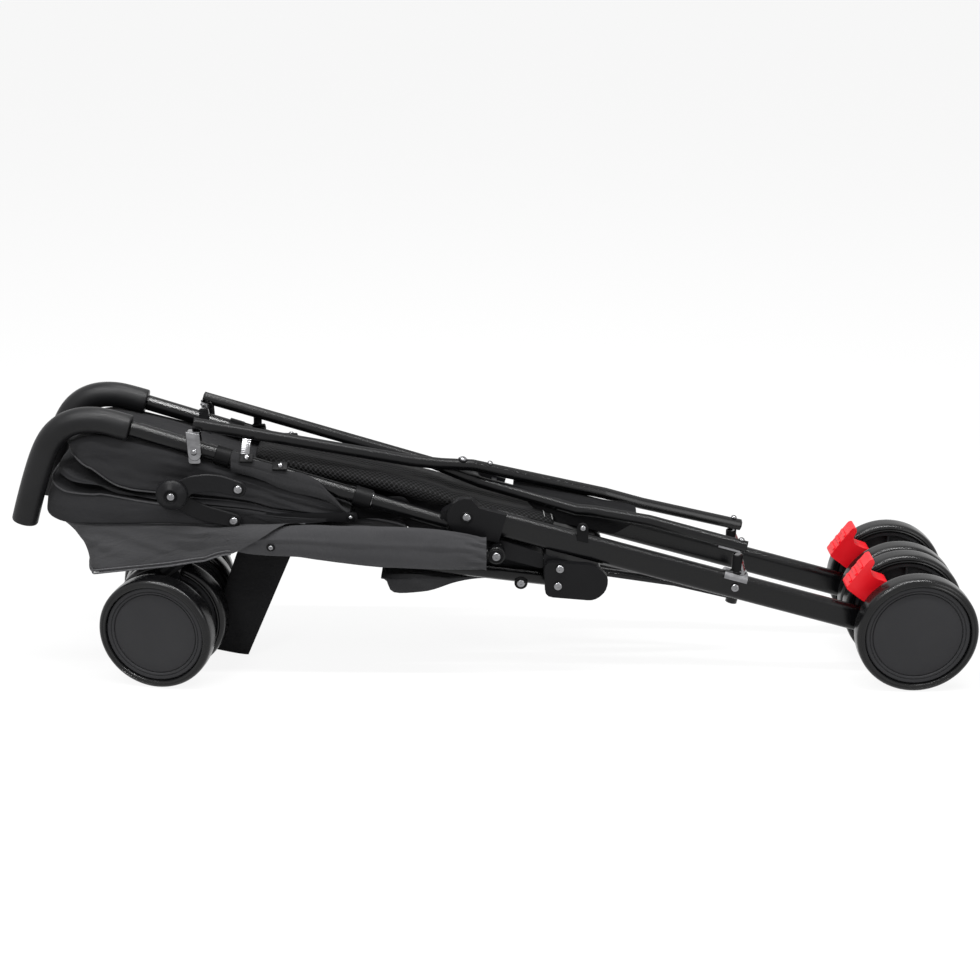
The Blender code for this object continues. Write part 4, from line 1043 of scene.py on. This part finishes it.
def visor():
    """The hanging lower panel: a skirt round three sides with long folds, a deep corner and a piped hem."""
    half = visor_columns()
    columns = [(*column, -1) for column in half] + [(*column, 1) for column in reversed(half[:-1])]
    rows = []
    for k in range(VISOR_LEVELS):
        f = k / (VISOR_LEVELS - 1)
        rows.append([visor_point(top, low, a, f, sign) for top, low, a, sign in columns])
    turned = [Vector((p.x, p.y - math.copysign(1.8, p.y), p.z + 2.6)) for p in rows[-1]]
    tucked = [Vector((p.x, p.y - math.copysign(3, p.y), p.z + 2.4)) for p in rows[0]]
    grid = [tucked] + rows + [turned]
    made = cloth_grid("canopy_visor_cloth", grid, VISOR, "grey_cloth", None, ["canopy_visor"])
    hem = bmesh.new()
    sweep(hem, smooth_run(rows[-1], 2), 1.15, 8)
    upper = [p + Vector((0, math.copysign(0.5, p.y), 4.2)) for p in rows[-1]]
    sweep(hem, smooth_run(upper, 2), 0.7, 6)
    hem_piece = closed("canopy_visor_piping", hem, PIPING, None, "grey_cloth")
    seam = bmesh.new()
    line = [p + Vector((0, math.copysign(0.35, p.y), 0.2)) for p in rows[0][8:-8]]
    sweep(seam, smooth_run(line, 2), 0.8, 6)
    seam_piece = closed("canopy_seam_piping", seam, DARK_TAPE, None, "dark_cloth")
    for made_piece in (made, hem_piece, seam_piece):
        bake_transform(made_piece)
    return made, hem_piece, seam_piece


visor_piece, visor_hem, visor_seam = visor()


# Canopy stays


def round_end(tip, before, width):
    """Seven points round the tip of an arm, from one side to the other."""
    way = (tip - before).normalized()
    across = Vector((-way.y, way.x))
    turns = [math.radians(-90 + 22.5 * k) for k in range(1, 8)]
    return [tip + way * math.cos(a) * width + across * math.sin(a) * width for a in turns]


def ribbon(line, widths):
    """The outline of a flat arm along a line, with round ends."""
    pts = [Vector(p) for p in line]
    left = []
    right = []
    for i, p in enumerate(pts):
        along = (pts[min(len(pts) - 1, i + 1)] - pts[max(0, i - 1)]).normalized()
        across = Vector((-along.y, along.x)) * widths[i]
        left.append(p + across)
        right.append(p - across)
    out = round_end(pts[0], pts[1], widths[0])
    there, back = left, right
    if (right[0] - out[-1]).length < (left[0] - out[-1]).length:
        there, back = right, left
    out += there + round_end(pts[-1], pts[-2], widths[-1]) + back[::-1]
    return [(p.x, p.y) for p in out]


def arm(side, points, width, swell, y_low, y_high):
    """A flat arm through points of the side view, a little wider in its middle."""
    line = [(p.x, p.z) for p in smooth_run([(x, 0, z) for x, z in points], 5)]
    widths = [width + swell * math.sin(math.pi * k / (len(line) - 1)) for k in range(len(line))]
    return plate(bmesh.new(), ribbon(line, widths), *sorted((side * y_low, side * y_high)), 0.9)


KNOB_PROFILE = [
    (0, -0.6), (17, -0.6), (17.5, 0.4), (17.4, 3.2), (16.6, 4.4), (9.6, 9), (8.6, 9.6), (7.6, 9.4), (7, 8.4),
    (6.4, 8), (0, 8),
]
KNOB_RIBS = 24


def stays(side, name):
    """The two arms of one canopy stay, with the ribbed knob at its elbow."""
    bm = arm(side, [KNOB, (-327, 241), (-301, 242.5), STAY_TOP], 9, 1.4, 74, 77.5)
    lathe(bm, KNOB_PROFILE, (KNOB[0], side * 76.6, KNOB[1]), (0, side, 0), 48)
    for k in range(KNOB_RIBS):
        turn = 2 * math.pi * k / KNOB_RIBS
        spot = Vector((KNOB[0] + 17 * math.cos(turn), side * 78.2, KNOB[1] + 17 * math.sin(turn)))
        lathe(bm, [(0, 1.6), (0.9, 1.2), (0.9, -1.8), (0, -1.8)], spot, (0, side, 0), 6)
    closed(f"{name}_canopy_stay_upper_shaped", bm, STAY, f"{name}_stay_upper", "black_plastic", 32,
           [f"{name}_canopy_stay_upper"])
    bm = arm(side, [KNOB, (-336, 216), (-316, 206.5), STAY_LOW], 8, 1.6, 69.7, 73.3)
    closed(f"{name}_canopy_stay_lower_shaped", bm, STAY_DARK, f"{name}_stay_lower", "black_plastic", 32,
           [f"{name}_canopy_stay_lower"])


for side, name in SIDES:
    stays(side, name)


# Fittings on the handle tubes and under the brace bars


def on_tube(x, degrees, radius, side):
    """A place round the handle tube, and the way out from it. 0 degrees is sideways, 90 is up."""
    turn = math.radians(degrees)
    way = Vector((0, side * math.cos(turn), math.sin(turn)))
    return Vector((x, side * FRAME_Y, handle_z(x))) + way * radius, way


def turned_box(bm, centre, way, size, bevel):
    """A softened box whose third side points along way, its first along X."""
    way = way.normalized()
    along = Vector((1, 0, 0))
    across = way.cross(along).normalized()
    along = across.cross(way)
    place = Matrix.Translation(centre) @ Matrix((along, across, way)).transposed().to_4x4()
    made = bmesh.ops.create_cube(bm, size=1.0, matrix=place @ Matrix.Diagonal((*size, 1.0)))
    edges = dict.fromkeys(e for v in made["verts"] for e in v.link_edges)
    bmesh.ops.bevel(bm, geom=list(edges), offset=bevel, segments=2, affect="EDGES", profile=0.5)


def collar(bm, x_low, x_high, side, radius):
    """A ring round the handle tube with rounded edges."""
    start, end = [Vector((x, side * FRAME_Y, handle_z(x))) for x in (x_low, x_high)]
    along = (end - start).normalized()
    length = (end - start).length
    profile = [(9.1, 0), (radius - 0.7, 0), (radius, 0.7), (radius, length - 0.7), (radius - 0.7, length),
               (9.1, length)]
    lathe(bm, profile, start, along, 32)


CLIP_DOME = [(3.6, 0), (3.5, 0.8), (2.4, 2), (0.9, 2.5), (0, 2.5)]
SNAP_DOME = [(3.3, 0), (3.2, 1.2), (2.2, 2.7), (0.8, 3.2), (0, 3.2)]
# Place along the tube, degrees round it, and size of each snap base
SNAP_BASES = [(-269, 46, (15, 10.5, 3)), (-232.5, 58, (16.5, 11.5, 3.2))]


def tube_fittings(side, name):
    black = bmesh.new()
    steel = bmesh.new()
    # The clip that holds the brace's saddle, a plate with a round foot and one rivet
    x, top = (-326, 298) if side < 0 else (-329, 297)
    outline = [(x - 7.6, top), (x + 7.6, top - 0.19 * 15.2)]
    for k in range(9):
        a = math.radians(180 * k / 8)
        outline.append((x + 7.4 * math.cos(a) + 1, 272 - 7.6 * math.sin(a)))
    plate(steel, outline, *sorted((side * 62.4, side * 64.2)), 0.6)
    lathe(steel, CLIP_DOME, (x + 0.6, side * 64.2, 274.5), (0, side, 0), HEAD_STEPS)
    turned_box(steel, Vector((x + 0.5, side * 56.5, top - 2.2)), Vector((0, 0, 1)), (13.6, 12, 2.4), 0.6)
    # Snap bases on the cloth that wraps the tube, with their domed snaps
    for spot_x, degrees, size in SNAP_BASES:
        centre, way = on_tube(spot_x, degrees, 12, side)
        turned_box(black, centre, way, size, 0.9)
        tip, way = on_tube(spot_x + 0.5, degrees, 13.4, side)
        lathe(steel, SNAP_DOME, tip, way, HEAD_STEPS)
    # The short upright strap from the first base up towards the brace bar
    centre, _ = on_tube(-270.5, 62, 12, side)
    goal = Vector((-269, side * 47, 284))
    run = smooth_run([centre, (centre + goal) / 2 + Vector((0, side * 1.2, 0)), goal], 4)
    for a, b in zip(run, run[1:]):
        turned_box(steel, (a + b) / 2, b - a, (9.6, 2.2, (b - a).length + 0.8), 0.4)
    collar(black, -304, -287.5, side, 10.8)
    collar(black, -152, -133, side, 11.2)
    collar(steel, -133.2, -132, side, 11.3)
    closed(f"{name}_tube_bases", black, DARK_PLASTIC, f"{name}_handle", "black_plastic", 35)
    closed(f"{name}_tube_clips", steel, CHROME, f"{name}_handle", "chromed_steel", 35)


for side, name in SIDES:
    tube_fittings(side, name)


def spacers():
    """Black spacers round the posts under the brace bars' lower ends."""
    for name, x, y, low, high in (("left", 280, -50, 127, 149), ("right", 286, 50, 122, 140.5)):
        bm = bmesh.new()
        foot = max(low, leg_z(x) + 13.5)
        profile = [(4.7, 0), (7.4, 0), (7.8, 0.5), (7.8, 1.6), (6.2, 2.4), (6.2, high - foot - 0.6),
                   (5.6, high - foot), (4.7, high - foot)]
        lathe(bm, profile, (x, y, foot), (0, 0, 1), 28)
        closed(f"{name}_bar_spacer", bm, DARK_PLASTIC, f"{name}_rear_leg", "black_plastic", 35)


spacers()


# Seat cloth

# The sleeves' upper and lower edge, half their width, and the close stations of the gathered end
SLEEVE_TOP = [
    (-292, 184), (-270, 190), (-245, 192.5), (-199, 194), (-100, 192.3), (-60, 189),
    (-30, 184.5), (-14, 180), (-4, 176),
]
SLEEVE_LOW = [
    (-292, 166), (-270, 160), (-245, 158), (-212, 156.3), (-168, 149.6), (-123, 144.4),
    (-80, 142.4), (-40, 141.6), (-14, 142.6), (-4, 143.6),
]
SLEEVE_WIDE = [(-292, 4), (-270, 8), (-240, 10), (-130, 10.8), (-45, 10.4), (-14, 9.8), (-4, 9)]
SLEEVE_END = [-40, -34, -28.5, -23.5, -19, -15, -11.5, -8.5, -6, -4]
SLEEVE_AROUND = 56
# The sling's section, once round
SLING_LOOP = [
    (-236, 170), (-238, 178), (-232, 184), (-205, 187), (-170, 187.5), (-140, 186), (-112, 182), (-96, 177),
    (-93, 172), (-99, 167), (-125, 164.5), (-170, 167), (-212, 168),
]


def sleeve(side, name):
    """The seat cloth's sleeve round one seat tube, creased along its middle and gathered at its end."""
    rows = []
    for x in walk(-292, SLEEVE_END[0], 9) + SLEEVE_END:
        high = between(SLEEVE_TOP, x)
        low = between(SLEEVE_LOW, x)
        tall = (high - low) / 2
        wide = between(SLEEVE_WIDE, x)
        gather = min(1, max(0, (x + 48) / 30))
        line = []
        for turn in full_turn(SLEEVE_AROUND):
            pucker = (math.sin(turn * 11 + x * 0.1) + 0.6 * math.sin(turn * 17 - x * 0.07)) * 1.15 * gather
            pucker += 2.2 * min(1, max(0, (x + 9) / 5))
            wave = drift(x * 0.02, math.cos(turn) * 1.2, math.sin(turn) * 1.2) * 1.4
            wave += drift(x * 0.07, math.cos(turn) * 3, math.sin(turn) * 3 + 4) * 0.5
            lean = turn if turn <= math.pi else turn - 2 * math.pi
            ridge = 1.5 * math.exp(-((lean - math.radians(20 + 6 * math.sin(x * 0.012))) / 0.13) ** 2)
            dip = -0.9 * math.exp(-((lean - math.radians(2)) / 0.22) ** 2)
            out_y = (wide + pucker + wave * 0.6 + (ridge + dip) * (1 - gather)) * math.cos(turn)
            z = (high + low) / 2 + (tall + pucker + wave * 0.6) * math.sin(turn)
            line.append(Vector((x, side * (SEAT_Y + 0.2 + out_y), z)))
        rows.append(line)
    made = cloth_grid(f"{name}_seat_sleeve", rows, GREY, "grey_cloth", 0.01)
    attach(made, f"{name}_seat")
    return made


def sling():
    """The folded sling between the two sleeves."""
    rows = []
    for y in range(-72, 73, 12):
        sag = 5 * math.cos(math.pi * y / 144) * 0.4
        line = []
        for i, (x, z) in enumerate(SLING_LOOP):
            wave = drift(x * 0.03, y * 0.035, i * 0.4) * 2.2
            line.append(Vector((x + wave * 0.6, y, z - sag + wave)))
        line.append(line[0])
        rows.append(line)
    made = cloth_grid("seat_sling_cloth", rows, GREY, "grey_cloth", 0.01, ["seat_sling"])
    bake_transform(made)
    return made


sleeve_pieces = [sleeve(side, name) for side, name in SIDES]
sling_piece = sling()


# The flap's upper and lower edge at each station, half its width, and its points round one section
FLAP_EDGES = [
    (-124, 119.6, 118), (-116.5, 121, 117), (-115.5, 121.5, 100.5), (-104, 122, 98),
    (-87, 121.6, 98.6), (-70, 120.5, 100), (-56, 119, 104), (-42, 117.4, 108),
    (-28, 115.6, 110), (-14, 113.6, 110.2), (0, 112, 109.4),
]
FLAP_WIDE = [(-124, 49), (-104, 52), (-78, 52), (-54, 45), (-26, 34), (0, 26)]
FLAP_AROUND = 64


def flap():
    """The bunch of seat cloth under the front legs: a folded tail that narrows towards the knee."""
    rows = []
    for x, top, low in FLAP_EDGES:
        mid = (top + low) / 2
        half = (top - low) / 2
        wide = between(FLAP_WIDE, x)
        line = []
        for turn in full_turn(FLAP_AROUND):
            ripple = math.sin(turn * 9 + x * 0.05) * 0.1
            ripple += drift(x * 0.035, math.cos(turn) * 3, math.sin(turn) * 2) * 0.22
            crease = drift(x * 0.09 - turn, turn * 1.2, 7) * 1.1
            y = (wide + crease) * math.copysign(abs(math.cos(turn)) ** 0.3, math.cos(turn))
            rise = math.copysign(abs(math.sin(turn)) ** 0.4, math.sin(turn))
            z = mid + half * rise * (1 + ripple * 0.6)
            line.append(Vector((x + crease * 0.4, y, z)))
        rows.append(line)
    made = cloth_grid("seat_flap_cloth", rows, FLAP, "dark_cloth", 0.01, ["seat_flap"])
    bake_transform(made)
    return made


flap_piece = flap()


# Mesh back

MESH_MIDDLE = [(-262, 258.5), (-100, 221.5), (0, 195), (72, 179.5)]
MESH_HALF = 38
MESH_STEPS = 24


def rounding(y):
    """How thick the folded mesh is at a place across it, as a share. It runs out round at its two edges."""
    return math.sqrt(max(0, 1 - (abs(y) / 39.5) ** 6))


def mesh_back():
    """The folded mesh back between the handle tubes: layers of open mesh rolled into long folds."""
    rows = []
    ys = [-MESH_HALF + 2 * MESH_HALF * k / MESH_STEPS for k in range(MESH_STEPS + 1)]
    for x in walk(-263, 74, 12):
        thick = 9.6 if x < -50 else 7
        end = min(1, (x + 266) / 14, (76 - x) / 10)
        thick *= 0.45 + 0.55 * end
        outline = [(y, thick * rounding(y) + math.sin(y * 0.2 + x * 0.006) * 0.9 * rounding(y)) for y in ys]
        outline += [(-y, -thick * rounding(y) + math.sin(-y * 0.2) * 0.8 * rounding(y)) for y in ys]
        line = []
        for y, dz in outline:
            wave = drift(x * 0.014, y * 0.02, dz * 0.05) * 1.6
            line.append(Vector((x, y, between(MESH_MIDDLE, x) + dz + wave * end)))
        line.append(line[0])
        rows.append(line)
    caps = []
    for row in (rows[0], rows[-1]):
        centre = sum(row[:-1], Vector((0, 0, 0))) / (len(row) - 1)
        caps.append([p * 0.35 + centre * 0.65 for p in row])
    rows = [caps[0]] + rows + [caps[1]]
    made = cloth_grid("backrest_mesh_cloth", rows, MESH, "mesh_cloth", 0.01, ["backrest_mesh"])
    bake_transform(made)
    return made


back_piece = mesh_back()


# Small cloths behind the tubes


def side_cloth(side, name):
    """The back cloth's plain side, hanging from the handle tube behind the seat sleeve."""
    rows = []
    for k in range(8):
        f = k / 7
        line = []
        for i in range(24):
            x = -152 + 122 * i / 23
            high = handle_z(x) - 3
            low = between([(-152, 187), (-100, 187), (-88, 170), (-30, 168)], x)
            wave = drift(x * 0.035, f * 2, 5) * 3 + 1.6 * math.sin(f * 6 + x * 0.02)
            line.append(Vector((x, side * (37 + wave * (1 - abs(2 * f - 1))), high + (low - high) * f)))
        rows.append(line)
    made = cloth_grid(f"{name}_back_side_cloth", rows, DARK_GREY, "dark_cloth")
    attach(made, f"{name}_handle")
    return made


def knee_cloth(side, name):
    """The end of the seat cloth where it runs to the knee, creased along its length."""
    rows = []
    for k in range(7):
        f = k / 6
        line = []
        for i in range(16):
            x = -4 + 66 * i / 15
            high = between([(-4, 152), (62, 136)], x)
            low = between([(-4, 118), (62, 113)], x)
            wave = drift(x * 0.05, f * 4, 15) * 2.6 + 1.4 * math.sin(f * 11 + x * 0.03)
            line.append(Vector((x, side * (33 + wave), high + (low - high) * f)))
        rows.append(line)
    made = cloth_grid(f"{name}_knee_cloth", rows, DARK_GREY, "dark_cloth")
    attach(made, f"{name}_handle")
    return made


# The leaf across its width: place and rise, and its height along the bars
LEAF_CUT = [(-17, -24), (-17.5, -16), (-17, -8), (-15, -1.5), (-8, 0.5), (0, 2), (8, 3.5), (16, 4.5)]
LEAF_MIDDLE = [(26, 213.5), (60, 205), (133, 186), (168, 178.5)]


def bar_cloth():
    """A dark cloth leaf lying in the fork of the two brace bars, with one rivet."""
    rows = []
    for k, (y, rise) in enumerate(LEAF_CUT):
        line = []
        for i in range(24):
            x = 26 + 142 * i / 23
            mid = between(LEAF_MIDDLE, x)
            wave = drift(x * 0.03, k * 0.4, 25) * 2
            wide = 0.45 + 0.55 * min(1, i / 9)
            hang = rise * min(1, i / 6, (23.5 - i) / 4) if rise < -2 else rise
            line.append(Vector((x + 0.2 * hang, y * wide + 1 + wave * 0.5, mid + hang + wave)))
        rows.append(line)
    made = cloth_grid("brace_cloth_leaf", rows, DARK, "dark_cloth")
    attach(made, "left_brace")
    dome = [(3.4, 0), (3.3, 1), (2.2, 2.2), (0, 2.7)]
    bm = lathe(bmesh.new(), dome, (138, -15.6, 186), (0.1, -0.8, 1), HEAD_STEPS)
    closed("brace_cloth_rivet", bm, CHROME, "left_brace", "chromed_steel")
    return made


side_cloths = [side_cloth(side, name) for side, name in SIDES]
knee_cloths = [knee_cloth(side, name) for side, name in SIDES]
leaf_piece = bar_cloth()


# The plate under each rear leg's upper rivet
LEG_TAB = [
    (97.6, 168), (110.4, 165), (110.2, 184), (107.6, 188.4), (103.6, 189.6), (99.6, 188.4), (97.4, 184.6),
]


def small_trim():
    """Light threads on the mesh's edge, each side's rivet in the lower panel and tab on the rear leg."""
    bm = bmesh.new()
    for x, z in ((61, 188), (70, 184.5)):
        run = [(x - 0.8, -6, z), (x - 0.3, -14, z + 0.3), (x, -20, z + 0.9), (x + 0.3, -26, z + 0.9),
               (x + 0.8, -33, z - 0.1)]
        sweep(bm, smooth_run(run, 4), 0.45, 6)
    closed("mesh_tag_threads", bm, LABEL_THREAD, "left_handle", "grey_cloth")
    for side, name in SIDES:
        steel = bmesh.new()
        black = bmesh.new()
        bolt(steel, black, (-242.5, side * 87.2, 171.5), (0, side, 0), 2.8, 4.8, 1.8)
        closed(f"{name}_panel_rivet", steel, CHROME, f"{name}_seat", "chromed_steel")
        closed(f"{name}_panel_rivet_ring", black, DARK_PLASTIC, f"{name}_seat", "black_plastic")
        tongue = plate(bmesh.new(), LEG_TAB, side * 57.7 - 1, side * 57.7 + 0.2, 0.5)
        piece(f"{name}_leg_tab", tongue, DARK_PLASTIC, f"{name}_rear_leg", "black_plastic")


small_trim()


# Calf panel

# How far it sways to the left on its way down
CALF_SWAY = [(0, -6), (0.14, -7.6), (0.2, -5.4), (0.45, -6.6), (0.75, -5.6), (1, -6.4)]
CALF_STEPS = 16


def calf_panel():
    """The calf panel, folded in half and hanging edge on between the front wheels."""
    rows = []
    for k in range(CALF_STEPS + 1):
        f = k / CALF_STEPS
        right = (-231 - 54 * f, 128 - 124 * f)
        left = (-290 - 46.5 * f, 142 - 127 * f)
        line = []
        sway = between(CALF_SWAY, f)
        for side, order in ((-1, range(9)), (1, range(8, -1, -1))):
            for i in order:
                g = i / 8
                x = left[0] + (right[0] - left[0]) * g
                z = left[1] + (right[1] - left[1]) * g
                thick = 2.1 * math.sqrt(max(0, 1 - (2 * g - 1) ** 4)) + 0.3
                wave = drift(x * 0.03, z * 0.03, 0) * 0.8
                line.append(Vector((x, sway + side * thick + wave, z)))
        line.append(line[0])
        rows.append(line)
    made = cloth_grid("calf_panel_cloth", rows, DARK, "dark_cloth", 0.01, ["footrest_panel"])
    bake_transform(made)
    return made


calf_piece = calf_panel()


sheets = [canopy_piece, visor_piece, sling_piece, flap_piece, back_piece, calf_piece, leaf_piece]
sheets += sleeve_pieces + wrap_pieces + side_cloths + knee_cloths
